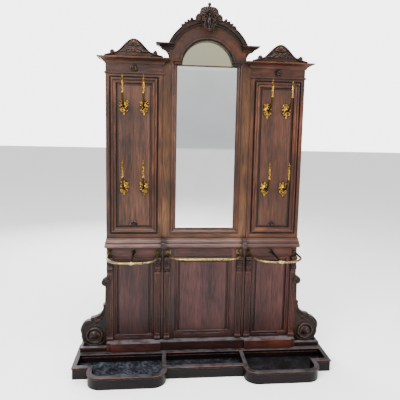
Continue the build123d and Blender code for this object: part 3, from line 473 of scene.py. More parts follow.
SAME_PLACE = 1e-6      # metres
FLAT = radians(0.2)      # faces that meet at less than this are one flat face
VOLUTE_STEPS = 22      # points on one turn of a volute
FORWARDS = (0, -1, 0)
UP = (0, 0, 1)
ACROSS = (1, 0, 0)


class Carving:
    """A piece made of closed solids, drawn in millimetres. Each solid keeps a grain direction and a
    tone of its own."""

    def __init__(self, name, tone=None):
        """tone is for the solids that follow. Where it is None, each solid has one of its own."""
        self.name = name
        self.tone = tone
        self.random = random.Random(name)
        self.vertices = []
        self.faces = []
        self.grains = []
        self.tones = []
        self.solid_numbers = []

    def solid(self, vertices, faces, grain=None):
        """Adds one closed solid. Its grain runs along its longest side unless it is given."""
        if grain is None:
            size = [max(v[axis] for v in vertices) - min(v[axis] for v in vertices) for axis in range(3)]
            grain = [0.0, 0.0, 0.0]
            grain[size.index(max(size))] = 1.0
        first = len(self.vertices)
        tone = self.random.random() if self.tone is None else self.tone
        self.vertices += [Vector(v) * MM for v in vertices]
        self.faces += [[first + index for index in face] for face in faces]
        self.grains += [grain] * len(faces)
        self.tones += [tone] * len(faces)
        number = self.solid_numbers[-1] + 1 if self.solid_numbers else 0
        self.solid_numbers += [number] * len(faces)

    def rings(self, rings, grain=None, hoop=False):
        """A solid skinned over closed rings of points, with its ends capped or joined to a hoop."""
        count = len(rings[0])
        vertices = [point for ring in rings for point in ring]
        faces = []
        for row in range(len(rings) if hoop else len(rings) - 1):
            next_row = (row + 1) % len(rings)
            for column in range(count):
                after = (column + 1) % count
                faces.append([row * count + column, row * count + after,
                              next_row * count + after, next_row * count + column])
        if not hoop:
            faces.append(list(range(count))[::-1])
            faces.append([(len(rings) - 1) * count + column for column in range(count)])
        self.solid(vertices, faces, grain)

    def tube(self, path, radii, sides=12, up=(0, 1, 0), flatten=1.0):
        """A round bar along a path. up points out of the plane that the path bends in."""
        up = Vector(up)
        if not isinstance(radii, (list, tuple)):
            radii = [radii] * len(path)
        rings = []
        for index, point in enumerate(path):
            side = heading(path, index).cross(up).normalized()
            rings.append(circle(Vector(point), side * radii[index], up * radii[index] * flatten, sides))
        self.rings(rings)

    def turned(self, center, profile, axis=FORWARDS, sides=32, petals=0, depth=0.0):
        """A turned solid from (radius, distance along the axis), with petals cut into it if asked."""
        axis = Vector(axis)
        across = axis.orthogonal().normalized()
        other = axis.cross(across)
        rings = []
        for radius, distance in profile:
            ring = []
            for step in range(sides):
                angle = 2 * pi * step / sides
                reach = max(radius, 0.02) * (1 + depth * (abs(cos(petals * angle / 2)) - 1))
                ring.append(Vector(center) + axis * distance
                            + (across * cos(angle) + other * sin(angle)) * reach)
            rings.append(ring)
        self.rings(rings)

    def relief(self, rows, y_back, grain=None):
        """A solid with a modelled front, given as rows of points, and a flat back."""
        rows = [[Vector(point) for point in row] for row in rows]
        rings = []
        for row in rows:
            back = [Vector((point.x, y_back, point.z)) for point in reversed(row)]
            rings.append(row + back)
        self.rings(rings, grain)

    def hoop(self, points, radius, sides=8):
        """A round ring through points that lie at one depth."""
        middle = sum(points, Vector()) / len(points)
        rings = [circle(point, (point - middle).normalized() * radius, Vector((0, radius, 0)), sides)
                 for point in points]
        self.rings(rings, UP, hoop=True)

    def leaf(self, path, width, relief, y_ground, lobes=3, curl=0.0, side=1):
        """A carved leaf along a path, with a midrib, lobed edges and a tip that curls forwards."""
        rows = []
        for index, point in enumerate(path):
            s = index / (len(path) - 1)
            run = heading(path, index)
            across = Vector((run.z, 0, -run.x)) * side
            swell = sin(pi * min(0.08 + 0.92 * s ** 0.8, 0.995)) ** 0.7
            scallop = 1 - 0.3 * (1 - abs(sin(pi * lobes * s + 0.4)))
            row = []
            for u in spread(5):
                rib = 0.30 * exp(-(u / 0.22) ** 2)
                vein = 0.12 * cos(2 * pi * lobes * (s - 0.12 * abs(u)))
                height = relief * ((1 - u * u) ** 0.5 * 0.8 - rib + vein * abs(u) + 0.12)
                height = height * (0.55 + 0.45 * swell) + curl * s ** 3
                place = Vector(point) + across * u * width / 2 * swell * scallop
                row.append((place.x, y_ground - max(height, 0.3), place.z))
            rows.append(row)
        self.relief(rows, y_ground + 1)

    def shell(self, center, radius, start, end, flutes, relief, y_ground):
        """A fan of rounded flutes from a small hub, with a scalloped rim."""
        rows = []
        for s in shares(8):
            row = []
            for t in shares(flutes * 6):
                angle = radians(mixed(start, end, t))
                flute = abs(sin(pi * flutes * t))
                reach = radius * (0.12 + (0.80 + 0.08 * flute ** 0.5) * s)
                height = relief * (0.25 + 0.75 * sin(pi * (0.12 + 0.78 * s)))
                height *= 0.55 + 0.45 * flute ** 0.6
                row.append(around(center, reach, angle, y_ground - height))
            rows.append(row)
        self.relief(rows, y_ground + 1)

    def volute(self, center, radius, turns, start, y, thickness, side=1):
        """A flat spiral that ends in a round eye."""
        path = []
        radii = []
        for s in shares(int(turns * VOLUTE_STEPS)):
            reach = radius * (1 - 0.78 * s ** 0.85)
            angle = radians(start) - side * 2 * pi * turns * s
            path.append(around(center, reach, angle, y - 1.5 * s))
            radii.append(thickness * (1 - 0.45 * s))
        self.tube(path, radii, sides=8)
        self.ball((center[0], y, center[1]), radius * 0.26)

    def ball(self, center, radius):
        profile = [(radius * sin(pi * t), radius * -cos(pi * t)) for t in shares(8)]
        self.turned(center, profile, axis=(0, 1, 0), sides=16)

    def cad(self, node):
        """Adds the CAD node's solids. A solid is whole when each of its edges has had two faces."""
        mesh = NODES[node].data
        keys = [tuple(round(value / MM, 2) for value in vertex.co) for vertex in mesh.vertices]
        waiting = set()
        block = []
        for polygon in mesh.polygons:
            corners = [keys[index] for index in polygon.vertices]
            if len(set(corners)) < 3:
                continue
            block.append(corners)
            for start, end in zip(corners, corners[1:] + corners[:1]):
                waiting ^= {frozenset((start, end))}
            if not waiting:
                self.add_block(block)
                block = []
        if block:
            self.add_block(block)

    def add_block(self, block):
        """Adds a solid from its faces' corners, with one vertex for each place."""
        index_of = {}
        faces = []
        for corners in block:
            faces.append([index_of.setdefault(corner, len(index_of)) for corner in corners])
        self.solid(list(index_of), faces)

    def mirrored(self):
        """Turns everything drawn so far to the other side of the piece."""
        self.vertices = [Vector((-v.x, v.y, v.z)) for v in self.vertices]
        self.faces = [face[::-1] for face in self.faces]

    def retoned(self, tone, wanted):
        """Gives that tone to every face whose corners pass the test."""
        self.tones = [tone if wanted([self.vertices[index] for index in face]) else old
                      for face, old in zip(self.faces, self.tones)]

    def piece(self, slot, nodes, material=None, ease=0.0, angle=32.0):
        """Makes the object that takes the place of the CAD nodes. Its edges sharper than the angle, in
        degrees, are eased by that many millimetres."""
        mesh = bpy.data.meshes.new(self.name)
        mesh.from_pydata(self.vertices, [], self.faces)
        grain = mesh.attributes.new("grain", "FLOAT_VECTOR", "FACE")
        grain.data.foreach_set("vector", [value for vector in self.grains for value in vector])
        tone = mesh.attributes.new("tone", "FLOAT", "FACE")
        tone.data.foreach_set("value", self.tones)
        shape = bmesh.new()
        shape.from_mesh(mesh)
        bmesh.ops.dissolve_degenerate(shape, edges=shape.edges, dist=SAME_PLACE)
        bmesh.ops.dissolve_limit(shape, angle_limit=FLAT, verts=shape.verts, edges=shape.edges)
        bmesh.ops.recalc_face_normals(shape, faces=shape.faces)
        for face in shape.faces:
            face.smooth = True
        for edge in shape.edges:
            edge.smooth = edge.calc_face_angle(0) < radians(angle)
        shape.to_mesh(mesh)
        shape.free()
        mesh.materials.append(MATERIALS[material or slot])
        made = placed(self.name, mesh)
        if ease:
            bevel = made.modifiers.new("eased edges", "BEVEL")
            bevel.width = ease * MM
            bevel.segments = 2
            bevel.limit_method = "ANGLE"
            bevel.angle_limit = radians(angle)
            bevel.harden_normals = True
        body = NODES[nodes[0]]["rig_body"] if nodes else FRAME_BODY
        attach(made, body)
        if nodes:
            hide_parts(*nodes)


# ---- timbers ----
DEEP = -1.2      # the tone of the darkest carvings
# Each timber's eased edge in millimetres, and its tone, or None where each board has one of its own.
TIMBERS = {
    "base_front_rails": (0.5, 2.0),
    "base_end_boards": (0.5, 1.0),
    "bow_wall_left": (0.5, 1.2),
    "bow_wall_right": (0.5, 1.0),
    "base_deck": (0.8, None),
    "base_floor_boards": (0.8, None),
    "base_back_rail": (1.5, None),
    "well_boards": (1.5, None),
    "plinth_left": (1.2, 0.3),
    "plinth_center": (1.2, -0.8),
    "plinth_right": (1.2, 0.6),
    "scroll_blocks": (1.2, -0.8),
    "lower_stiles": (1.0, None),
    "lower_rails": (0.8, None),
    "lower_panel_left": (1.5, -0.3),
    "lower_panel_center": (1.5, 0.6),
    "lower_panel_right": (1.5, 0.1),
    "lower_panel_mouldings": (0.7, None),
    "pilasters": (0.8, 0.6),
    "waist_mouldings": (1.2, 0.7),
    "wing_stiles": (1.0, None),
    "wing_rails": (1.0, None),
    "wing_panel_left": (1.5, None),
    "wing_panel_right": (1.5, -0.2),
    "wing_panel_mouldings": (0.8, None),
    "wing_cornice_left": (1.0, -0.5),
    "wing_cornice_right": (1.0, 0.5),
    "mirror_stiles": (1.2, None),
    "mirror_moulding": (0.8, None),
    "arch_board": (1.0, None),
    "arch_cornice": (1.0, 0.2),
    "arch_ears": (1.0, 0.0),
    "case_sides": (1.0, None),
    "back_boards": (1.5, None),
    }
FINISHES = {"arch_board": "arch_wood", "arch_cornice": "cornice_wood", "arch_ears": "cornice_wood",
            "waist_mouldings": "waist_wood"}
WAIST_RIGHT = 0.3      # metres, past which the waist's faces are in its darker right wing
WAIST_RIGHT_TONE = -0.8
CONSOLES = 2      # the waist's last solids are the dark consoles over its seams


def timbers():
    for node, (ease, tone) in TIMBERS.items():
        carving = Carving(node + "_timber", tone)
        carving.cad(node)
        if node == "waist_mouldings":
            carving.retoned(WAIST_RIGHT_TONE, lambda corners: max(v.x for v in corners) > WAIST_RIGHT)
            first_console = carving.solid_numbers[-1] + 1 - CONSOLES
            carving.tones = [DEEP if number >= first_console else old
                             for number, old in zip(carving.solid_numbers, carving.tones)]
        carving.piece(slot_of(node), [node], FINISHES.get(node), ease=ease)


# ---- brass ----
HOOK_TOP = 190.0      # from the middle of a hook's plate up to the tip of its spike
HOOK_REACH = 134.0      # from the wall forwards to the prong
HOOKS = [name for name in NODES if name.startswith("coat_hook_")]


def hook_middle(node):
    """The middle of the hook's plate, on the wall."""
    low, high = box_mm(node)
    return (low.x + high.x) / 2, high.y, high.z - HOOK_TOP


def hook(node):
    """A coat hook: pierced leafy plate, bent arm with a leaf, long prong, ring, ball and spike."""
    x, y, z = hook_middle(node)
    front = y - 5
    back = y - 1
    carving = Carving(node + "_brass", 0.4)
    carving.turned((x, y, z), [(21, 0), (21, 3), (18, 5), (14, 6), (11, 11), (4, 14), (0, 14)],
                   petals=10, depth=0.16, sides=40)
    for side in (-1, 1):
        carving.volute((x + side * 17, z + 21), 11, 1.3, 90, front, 3.6, side)
        carving.volute((x + side * 15, z - 25), 10, 1.3, -90, front, 3.4, -side)
        out = mirrored_path([(8, front, -2), (20, front, 1), (31, front, -4)], 5, x, z, side)
        carving.leaf(out, 15, 5, back, lobes=2, curl=3, side=side)
        down = mirrored_path([(5, front, -18), (10, front, -34), (19, front, -41)], 4, x, z, side)
        carving.leaf(down, 10, 4, back, lobes=2, curl=2, side=side)
    top = mirrored_path([(0, front, 12), (0, front, 30), (0, front, 44)], 5, x, z)
    carving.leaf(top, 20, 6, back, lobes=2, curl=4)
    pendant = mirrored_path([(0, front, -18), (0, front, -44), (0, front, -62)], 6, x, z)
    carving.leaf(pendant, 17, 5, back, lobes=3, curl=2)

    prong_y = y - HOOK_REACH
    arm = mirrored_path([(0, front, -4), (0, y - 45, -8), (0, y - 88, 10), (0, y - 118, 40),
                         (0, prong_y, 78)], 7, x, z)
    count = len(arm) - 1
    leaf_step = 16      # where the arm swells into a leaf
    radii = [7.5 - 2.0 * sin(pi * step / count) ** 2
             + 1.5 * exp(-((step - leaf_step) / 3) ** 2) for step in range(count + 1)]
    # Painted shade: the arm gets the darkest, dullest brass, as it stands in shadow.
    carving.tone = 1.0
    carving.tube(arm, radii, sides=14, up=ACROSS)
    prong_foot = (x, prong_y, z + 70)
    carving.tone = 0.4
    carving.turned(prong_foot, [
        (5, 0), (8.5, 3), (9.5, 6), (8.5, 9), (6.5, 11), (7.5, 16), (7.2, 60), (6.2, 74), (6.2, 78)],
        UP, sides=24)
    carving.tone = 0.85
    carving.turned(prong_foot, [
        (6.2, 77), (10.5, 79), (10.8, 82), (8, 84.5), (6.5, 86), (9, 89), (9.8, 92), (8.6, 96),
        (5.5, 98.5), (5, 101), (6.2, 103), (4.4, 106), (2.4, 113), (0.6, 120)], UP, sides=24)
    carving.piece("brass", [node], angle=55)


def hook_screws():
    """Domed screw heads above and below the middle of each hook's plate."""
    carving = Carving("hook_screws_brass")
    for node in HOOKS:
        x, y, z = hook_middle(node)
        for offset in (33, -40):
            carving.turned((x, y - 7, z + offset), [
                (3.5, 0), (3.5, 1.2), (2.8, 2.2), (1.2, 2.8), (0, 2.9)], sides=16)
    carving.piece("brass", ["hook_screws"], angle=50)


RAIL_CORNER = 120.0
RAIL = 7.5      # the rails' tube, as a radius
KNOB = 13.0
RAILS = ("left", "center", "right")


def rail_place(side_name):
    """A rail's low and high corners, its middle x and height, and whether it is a wing's rail."""
    low, high = box_mm("umbrella_rail_" + side_name)
    return low, high, (low.x + high.x) / 2, (low.z + high.z) / 2, side_name != "center"


def rail_path(low, high, z):
    """From the wall, forwards, round two corners and back."""
    x_low = low.x + RAIL
    x_high = high.x - RAIL
    y = low.y + RAIL
    path = [Vector((x_low, high.y - 10 * step, z)) for step in range(3)]
    for center_x, start in ((x_low + RAIL_CORNER, 180), (x_high - RAIL_CORNER, 270)):
        for step in range(17):
            angle = radians(start + 90 * step / 16)
            path.append(Vector((center_x + RAIL_CORNER * cos(angle),
                                y + RAIL_CORNER + RAIL_CORNER * sin(angle), z)))
    path += [Vector((x_high, high.y - 20 + 10 * step, z)) for step in range(3)]
    return path


def umbrella_rail(side_name):
    """A drawn tube in turned sockets. The wings' rails have a knob in the middle."""
    low, high, middle, z, wing = rail_place(side_name)
    if wing:
        low = Vector((low.x, low.y + KNOB - RAIL, low.z))
    node = "umbrella_rail_" + side_name
    carving = Carving(node + "_brass", 0.3)
    carving.tube(rail_path(low, high, z), RAIL, sides=20, up=UP)
    carving.tone = 0.9 if wing else 0.5
    for x in (low.x + RAIL, high.x - RAIL):
        carving.turned((x, high.y, z), [
            (11, 0), (11, 4), (9.5, 7), (9, 16), (10.5, 18), (10.5, 21), (8.2, 23), (0, 23)], sides=24)
    if wing:
        carving.tone = 0.0
        carving.turned((middle, low.y + RAIL, z), two_way([
            (KNOB, 0), (12.6, 4), (11, 7.5), (8.4, 11), (7.8, 14), (9, 15.5), (9, 18), (7.6, 19)]),
            ACROSS, sides=24)
    carving.piece("brass", [node], material="rail_brass", angle=50)


def rail_arms():
    """The turned arms from the frieze to the wing rails' knobs, darker than the rails."""
    for side_name in ("left", "right"):
        low, high, x, z, _ = rail_place(side_name)
        reach = high.y - low.y - KNOB
        carving = Carving("umbrella_arm_" + side_name)
        carving.turned((x, high.y, z), [
            (12, 0), (13, 4), (12, 9), (8.5, 12), (9.5, 18), (9, 30), (7.5, 44), (8.5, 48), (8.5, 52),
            (7, 55), (6.8, 120), (6, reach - 24), (7.5, reach - 20), (7.5, reach - 15),
            (6, reach - 12), (6, reach)], sides=20)
        carving.piece("brass", [], material="old_brass", angle=50)


def rail_rosettes():
    """Ring-shaped flanges with a scalloped edge, on the frieze rail."""
    carving = Carving("rail_rosettes_brass")
    face_y = box_mm("rail_rosettes")[1].y
    for side_name in RAILS:
        low, high, middle, z, wing = rail_place(side_name)
        carving.tone = 0.9 if wing else 0.05
        for x in (low.x + RAIL, high.x - RAIL) + ((middle,) if wing else ()):
            carving.turned((x, face_y, z), [
                (18, 0), (18, 1.6), (16.5, 3.4), (14.5, 3.6), (13.4, 2.6), (12.4, 4.6), (12.6, 6.6),
                (11.4, 8), (0, 8)], sides=48, petals=16, depth=0.05)
    carving.piece("brass", ["rail_rosettes"], material="rail_brass", angle=50)


# ---- carvings ----
def crest(node):
    """A hump between two roundels: rolled edge, shell, curling leaves and a drop on a sunk ground.
    Heights are from the crest's foot."""
    low, high = box_mm(node)
    middle = (low.x + high.x) / 2
    half = (high.x - low.x) / 2
    foot = low.z
    rise = high.z - low.z - 24
    y_back = high.y
    ground = low.y + 12
    shoulder = 112      # the hump ends here, and the edge runs down to the roundels
    roundel_x = 135

    def top(x):
        if abs(x) >= shoulder:
            return mixed(30, 9, (abs(x) - shoulder) / (half - shoulder))
        return 30 + (rise - 7) * (0.5 + 0.5 * cos(pi * x / shoulder)) ** 0.72

    carving = Carving(node + "_carved", -0.7)
    rows = []
    for u in spread(37):
        x = half * u
        height = top(x)
        row = []
        for t in shares(14):
            z = height * (1 - (1 - t) ** 1.6)
            from_edge = height - z
            roll = 9 * sqrt(max(0.0, 1 - ((from_edge - 5) / 6) ** 2))
            swell = 5 * exp(-(x / 55) ** 2) * exp(-((z - 40) / 34) ** 2)
            row.append((middle + x, ground - max(roll, swell, 0.0), foot + z))
        rows.append(row)
    carving.relief(rows, y_back, grain=ACROSS)
    carving.retoned(0.9, lambda corners: max(v.z for v in corners) < (foot + 27) * MM)
    y = ground - 2
    carving.tone = 0.3
    carving.shell((middle, foot + 64), 37, 8, 172, 7, 9, y)
    carving.tone = -0.4
    carving.turned((middle, y + 2, foot + 45), [
        (16, 0), (16, 7), (14, 9.5), (11, 10), (9, 7), (7, 6.5), (5, 9), (0, 10)], petals=8, depth=0.14)
    for side in (-1, 1):
        carving.tone = 0.0
        spray = mirrored_path([(14, y, 50), (36, y, 50), (62, y, 36), (92, y, 33)], 6, middle, foot, side)
        carving.leaf(spray, 24, 8, y + 1, lobes=4, curl=2, side=side)
        carving.volute((middle + side * 47, foot + 62), 11, 1.4, 90, y, 3.6, side)
        inner = mirrored_path([(12, y, 42), (26, y, 34), (44, y, 30)], 5, middle, foot, side)
        carving.leaf(inner, 14, 6, y, lobes=2, curl=2, side=side)
        carving.tone = -0.4
        carving.turned((middle + side * roundel_x, y_back - 2, foot + 26), [
            (15, 0), (15, 27), (13, 31), (10.5, 31.5), (9, 29.5), (7, 29.5), (6, 32), (3, 33.5), (0, 33.5)])
    carving.tone = 0.3
    drop = mirrored_path([(0, y, 80), (0, y, 94), (0, y, 106)], 6, middle, foot)
    carving.leaf(drop, 18, 9, y + 1, lobes=3, curl=3)
    carving.piece("carved_wood", [node], angle=50)


ARCH_RADIUS = 283      # the arched cornice's outer radius


def crown():
    """The crown cartouche: shell over a plain shield between volutes, a finial and leaf sprays.
    Heights are from the floor."""
    low, high = box_mm("crown_cartouche")
    arch_z = box_mm("arch_cornice")[1].z - ARCH_RADIUS
    front = low.y + 6
    back = high.y
    stem_back = 106      # a millimetre into the arched cornice's front
    spray_y = 112      # the leaf sprays stand on top of the arched cornice
    spray_ground = spray_y + 12
    finial_foot = 2372
    carving = Carving("crown_carved")

    def slab(points, y_front, y_back, crown_height):
        """A shouldered block with a softly domed front, from its right-hand outline."""
        rows = []
        for x, z in points:
            rows.append([(x * u, y_front - crown_height * (1 - u * u), z) for u in spread(8)])
        carving.relief(rows, y_back)

    def strap(side, points, steps):
        """A path on one side of the crown, with its depths measured from the crown's front."""
        return mirrored_path([(across, front + y, z) for across, y, z in points], steps, side=side)

    carving.tone = DEEP
    slab([(70, 2283), (85, 2288), (89, 2302), (85, 2316), (76, 2327), (62, 2333), (60, 2346),
          (55, 2360), (44, 2369), (28, 2374), (12, 2376)], front + 16, back, 6)
    slab([(12, 2234), (22, 2244), (28, 2258), (32, 2276), (34, 2290)], front + 13, stem_back, 4)
    carving.tone = -0.4
    carving.shell((0, 2322), 51, -2, 182, 9, 13, front + 12)
    carving.ball((0, front + 2, 2323), 9)
    # Painted highlights: the beads and the row of balls get a very light tone.
    carving.tone = 2.4
    for step in range(-3, 4):
        angle = radians(90 - 19 * step)
        carving.ball(around((0, 2326), 24, angle, front), 4.2)
    for x, z, radius in ((-30, 2318, 4.5), (-17, 2313, 5), (0, 2311, 5.5), (17, 2313, 5), (30, 2318, 4.5)):
        carving.ball((x, front + 3, z), radius)
    carving.tone = -0.2
    carving.turned((0, (front + back) / 2 - 6, finial_foot), [
        (14, 0), (14, 2), (9, 4), (6.5, 6), (8, 8), (11, 11), (12, 15), (11.5, 19), (9, 23), (5.5, 26),
        (2, high.z - finial_foot)], UP, sides=20)
    carving.tone = 0.6
    shield = []
    for s in shares(12):
        z = 2306 - 56 * s
        width = 17 * sin(pi * (0.15 + 0.75 * s)) ** 0.6
        row = []
        for u in spread(6):
            height = 13 * sqrt(max(0.0, 1 - u * u)) * sin(pi * (0.1 + 0.8 * s)) ** 0.7
            row.append((width * u, front + 9 - height, z))
        shield.append(row)
    carving.relief(shield, front + 14)
    for side in (-1, 1):
        carving.tone = 0.0
        carving.volute((side * 30, 2294), 15, 1.4, 90, front + 7, 4.8, side)
        carving.volute((side * 66, 2302), 18, 1.5, 110, front + 10, 5.4, side)
        carving.volute((side * 22, 2252), 12, 1.3, -90, front + 9, 4.2, -side)
        frame_strip = strap(side, [(10, 4, 2310), (24, 3, 2288), (22, 3, 2268), (12, 5, 2246)], 6)
        carving.tube(frame_strip, 3.6, sides=8)
        outer = strap(side, [(34, 8, 2304), (54, 8, 2322), (52, 8, 2350)], 5)
        carving.leaf(outer, 20, 8, front + 14, lobes=3, curl=4, side=side)
        lower = strap(side, [(14, 9, 2250), (34, 9, 2262), (50, 11, 2284)], 5)
        carving.leaf(lower, 17, 7, front + 16, lobes=3, curl=2, side=side)
        carving.tone = DEEP
        for number in range(4):
            angle = radians(90 - side * (22.0 + 4.4 * number))
            reach = ARCH_RADIUS - 3
            root = around((0, arch_z), reach, angle, spray_y)
            outwards = Vector((cos(angle), 0, sin(angle)))
            along = Vector((side * sin(angle), 0, -side * cos(angle)))
            tip = root + outwards * (25 - 3.2 * number) + along * (8 + number)
            bend = mixed(root, tip, 0.5) - along * 5
            carving.leaf(smooth_path([root, bend, tip], 5), 24 - 2 * number, 13, spray_ground, lobes=2,
                         curl=4, side=side)
            carving.ball(root + outwards * 6 + along * 13, 5 - 0.5 * number)
    drop = smooth_path([(0, front + 8, 2256), (0, front + 8, 2240), (0, front + 10, low.z + 1)], 5)
    carving.leaf(drop, 24, 10, front + 14, lobes=3, curl=3)
    carving.piece("carved_wood", ["crown_cartouche"], angle=50)


def scroll_bracket(side_name):
    """The side bracket with its ridged hollow, pointed leaf, roundel and running scroll."""
    node = "scroll_bracket_" + side_name
    face_y = box_mm(node)[0].y
    carving = Carving(node + "_carved", DEEP)
    carving.cad("scroll_bracket_right")

    def on_face(points, steps):
        return smooth_path([(x, face_y, z) for x, z in points], steps)

    for number in range(3):
        gap = 8 + 13 * number
        ridge = on_face([(670, 402 - 1.2 * gap), (684 - 0.45 * gap, 362 - 0.5 * gap),
                         (712 - 0.62 * gap, 330 - 0.75 * gap), (750 - 0.9 * gap, 310 - 0.95 * gap)], 7)
        carving.tube(ridge, 5.5 - 0.7 * number, sides=10, flatten=0.8)
    scroll = on_face([
        (752, 289), (790, 268), (813, 232), (818, 196), (808, 158), (800, 134), (770, 121), (735, 119),
        (700, 126), (676, 146), (668, 180), (672, 214), (690, 244), (716, 258), (744, 258)], 6)
    count = len(scroll)
    carving.tube(scroll, [6.0 - 2.5 * step / count for step in range(count)], sides=10, flatten=0.9)
    carving.tube(on_face([(663, 404), (662, 470), (662, 532)], 4), 3.5, sides=8)
    carving.leaf(on_face([(716, 296), (742, 306), (770, 308)], 6), 24, 9, face_y, lobes=2, curl=6)
    tongue = on_face([(700, 300), (730, 284), (766, 262)], 6)
    carving.leaf(tongue, 26, 7, face_y, lobes=3, curl=2, side=-1)
    carving.turned((663, face_y, 561), [
        (27, -36), (27, 4), (24, 7), (20, 7), (17, 4), (13, 4), (9, 8), (4, 10), (0, 10)])
    if side_name == "left":
        carving.mirrored()
    carving.piece("carved_wood", [node], angle=40)


def scroll_bosses():
    """The big turned bosses: rounded ring, dish, dome and button."""
    low, high = box_mm("scroll_bosses")
    radius = (high.z - low.z) / 2
    z = (high.z + low.z) / 2
    carving = Carving("scroll_bosses_carved", DEEP)
    for side in (-1, 1):
        center = (side * (high.x - radius), high.y, z)
        carving.turned(center, [
            (57, 0), (57, 5), (55.5, 8), (53, 10.2), (50, 11), (47, 10.4), (45, 8.5), (44, 5.5),
            (41, 3.6), (36, 3), (32, 3.6), (30, 6), (28.5, 6.2), (25, 9), (20, 12), (15, 14), (12, 14.6),
            (11.6, 13), (10, 13), (9.6, 17), (8, 19.4), (5, 20.6), (0, 21)], sides=64)
        # Painted highlights: the thin rings on the boss get a light tone against its dark body.
        carving.tone = 0.2
        for ring_radius, depth in ((51.5, 9.4), (30.5, 4.6)):
            ring = arc((center[0], z), ring_radius, 0, 360, high.y - depth, 64)[:-1]
            carving.hoop(ring, 1.8)
        carving.tone = DEEP
    carving.piece("carved_wood", ["scroll_bosses"], angle=40)


PILASTERS = (250, 314, 636)      # the pilasters' distances from the middle


def corbels():
    """Six scrolled brackets: moulded cap, banded upper roll, hollow, lower roll and a leaf."""
    face_y = box_mm("pilaster_corbels")[1].y
    centers = [offset * side for offset in PILASTERS for side in (-1, 1)]
    carving = Carving("pilaster_corbels_carved")
    for x in centers:
        carving.tone = -0.8
        body = []
        for z, out in ((628, 12), (634, 17), (645, 20), (668, 21), (684, 16), (694, 18), (712, 24),
                       (716, 28)):
            row = []
            for u in spread(8):
                flute = 2.0 * abs(sin(pi * 2 * u)) if abs(u) < 0.99 else 0.0
                row.append((x + 17 * u, face_y - out + flute - 1, z))
            body.append(row)
        carving.relief(body, face_y, grain=UP)
        # The lower roll's light tone is a painted highlight on its curl. The upper roll stays dark.
        for z, radius, reach, shade in ((700, 12, 23, -0.3), (657, 15, 19, 1.6)):
            carving.tone = shade
            center = (x, face_y - reach + 4, z)
            carving.turned(center, two_way([
                (radius, 5), (radius - 2, 6), (radius - 2, 8), (radius, 9), (radius, 17),
                (radius - 3, 17.5), (radius - 5, 19.5), (3, 19.5)]), ACROSS, sides=28)
        carving.tone = 0.2
        for z_low, z_high, out, half in ((714, 719, 29, 18), (719, 728, 32, 19.5), (728, 735, 34, 19)):
            rows = []
            for z in (z_low, z_high):
                rows.append([(x - half, face_y - out, z), (x + half, face_y - out, z)])
            carving.relief(rows, face_y)
        # Painted highlight: the leaf under the lower roll gets a very light tone.
        carving.tone = 3.4
        tip = smooth_path([(x, face_y - 16, 650), (x, face_y - 16, 639), (x, face_y - 14, 629)], 4)
        carving.leaf(tip, 34, 9, face_y - 14, lobes=1, curl=-3)
    carving.piece("carved_wood", ["pilaster_corbels"], ease=0.6, angle=40)


WING_X = 475      # from the middle of the piece to the middle of a wing
FRIEZE_Y = 147      # the front of the wings' top rails


def wing_ornaments():
    """Frieze rosettes with eight petals, and the half-round fans at the feet of the wings' fields."""
    low, high = box_mm("wing_ornaments")
    carving = Carving("wing_ornaments_carved")
    rosette = 24
    frieze_z = high.z - rosette - 0.5
    field_y = high.y
    for side in (-1, 1):
        x = side * WING_X
        carving.tone = DEEP
        carving.turned((x, FRIEZE_Y, frieze_z), [
            (rosette, 0), (rosette, 4), (22.5, 7), (19.5, 7.5), (18, 5), (14, 4)], sides=48)
        carving.tone = -0.4
        carving.turned((x, FRIEZE_Y, frieze_z), [
            (17, 1), (17, 6), (13, 10), (8, 8), (6, 8)], sides=48, petals=8, depth=0.25)
        carving.ball((x, FRIEZE_Y - 8, frieze_z), 6)
        carving.tone = -0.7
        carving.shell((x, low.z), 30, 0, 180, 7, 7, field_y)
        carving.tone = 0.8
        rim = arc((x, low.z), 29, 0, 180, field_y - 2)
        carving.tube(rim, 3.0, sides=8)
        carving.ball((x, field_y - 4, low.z + 5), 5)
    carving.piece("carved_wood", ["wing_ornaments"], angle=50)


# ---- glass and pans ----
def bevelled_glass():
    """The lower glass with a wide flat bevel at its edge, and the half-round glass above it."""
    low, high = box_mm("mirror_glass")
    carving = Carving("mirror_glass_bevelled")
    rings = []
    for inset, y in ((0, high.y), (0, low.y + 2.0), (26, low.y), (27, low.y)):
        rings.append([(low.x + inset, y, low.z + inset), (high.x - inset, y, low.z + inset),
                      (high.x - inset, y, high.z - inset), (low.x + inset, y, high.z - inset)])
    carving.rings(rings)
    carving.piece("mirror", ["mirror_glass"], angle=0.5)
    low, high = box_mm("arch_glass")
    radius = (high.x - low.x) / 2
    half_round = Carving("arch_glass_clear")
    rings = []
    for inset, y in ((0, high.y), (0, low.y + 1.5), (1.5, low.y)):
        ring = [(-radius + inset, y, low.z + inset), (radius - inset, y, low.z + inset)]
        for point in arc((0, high.z - radius), radius - inset, 0, 180, y, 48):
            ring.append(tuple(point))
        rings.append(ring)
    half_round.rings(rings)
    half_round.piece("mirror", ["arch_glass"], material="arch_mirror", angle=20)


def drip_pans():
    """The pans keep their CAD shape and get a zinc skin."""
    for node, stain in (("drip_pan_left", 0.25), ("drip_pan_center", 0.6), ("drip_pan_right", 0.85)):
        carving = Carving(node + "_sheet", stain)
        carving.cad(node)
        carving.piece("zinc", [node], angle=20)


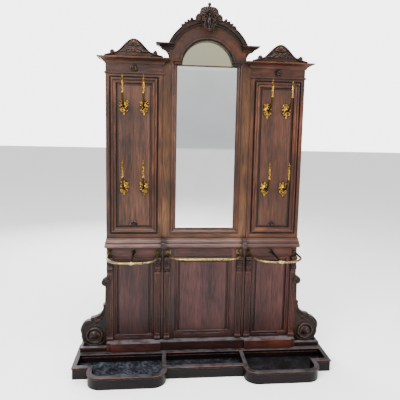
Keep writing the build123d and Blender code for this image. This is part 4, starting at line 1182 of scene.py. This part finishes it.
# ---- stage ----
LOW_SKY = (0.52, 0.53, 0.55, 1.0)
BACKDROP = (3.2, 3.2, 3.2, 1.0)      # what the camera sees past the floor
LAMPS = (("key", (-3.0, -3.8, 3.4), 2.2, 450.0), ("fill", (3.6, -3.0, 2.0), 2.4, 180.0),
         ("top", (0.0, -1.6, 5.0), 2.8, 320.0), ("rear", (-1.5, 3.8, 3.0), 2.6, 260.0))
AIM = Vector((0, 0, 1.2))
CAMERA_PLACE = (-0.2908, -2.808, 1.5785)
YAW, PITCH, ROLL = (radians(angle) for angle in (6.0, -7.1, 1.27))
SENSOR = 36.0
FOCAL = 442.5 / 400      # in widths of the picture


def stage():
    """A pale floor, soft lights and the camera."""
    mesh = bpy.data.meshes.new("floor")
    size = 40.0
    mesh.from_pydata([(-size, -size, 0), (size, -size, 0), (size, size, 0), (-size, size, 0)], [],
                     [(0, 1, 2, 3)])
    mesh.materials.append(pale_floor("floor"))
    floor = placed("floor", mesh)

    graph = Graph("studio", bpy.data.worlds)
    height = graph.parts(graph.node("ShaderNodeTexCoord").outputs["Generated"])["Z"]
    glow = graph.ramp(height, (0.0, LOW_SKY), (0.8, WHITE))
    camera_ray = graph.node("ShaderNodeLightPath").outputs["Is Camera Ray"]
    sky = graph.node("ShaderNodeBackground", {"Color": graph.mix(camera_ray, glow, BACKDROP),
                                              "Strength": 1.5})
    graph.node("ShaderNodeOutputWorld", {"Surface": sky.outputs[0]})
    bpy.context.scene.world = graph.owner

    for name, place, width, power in LAMPS:
        lamp = bpy.data.lights.new(name, "AREA")
        lamp.shape = "DISK"
        lamp.size = width
        lamp.energy = power
        stand = placed(name, lamp)
        stand.location = place
        stand.rotation_euler = (AIM - Vector(place)).to_track_quat("-Z", "Y").to_euler()

    camera_data = bpy.data.cameras.new("camera")
    camera_data.sensor_width = SENSOR
    camera_data.lens = SENSOR * FOCAL
    camera_data.shift_x = -0.02
    camera_data.shift_y = -0.03
    camera = placed("camera", camera_data)
    turn = Matrix.Rotation(-YAW, 4, "Z") @ Matrix.Rotation(pi / 2 + PITCH, 4, "X")
    turn = turn @ Matrix.Rotation(ROLL, 4, "Z")
    camera.matrix_world = Matrix.Translation(CAMERA_PLACE) @ turn
    bpy.context.scene.camera = camera


# ---- the whole piece ----
timbers()
for hook_node in HOOKS:
    hook(hook_node)
hook_screws()
for rail_name in RAILS:
    umbrella_rail(rail_name)
rail_arms()
rail_rosettes()
crest("wing_crest_left")
crest("wing_crest_right")
crown()
scroll_bracket("left")
scroll_bracket("right")
scroll_bosses()
corbels()
wing_ornaments()
bevelled_glass()
drip_pans()
stage()
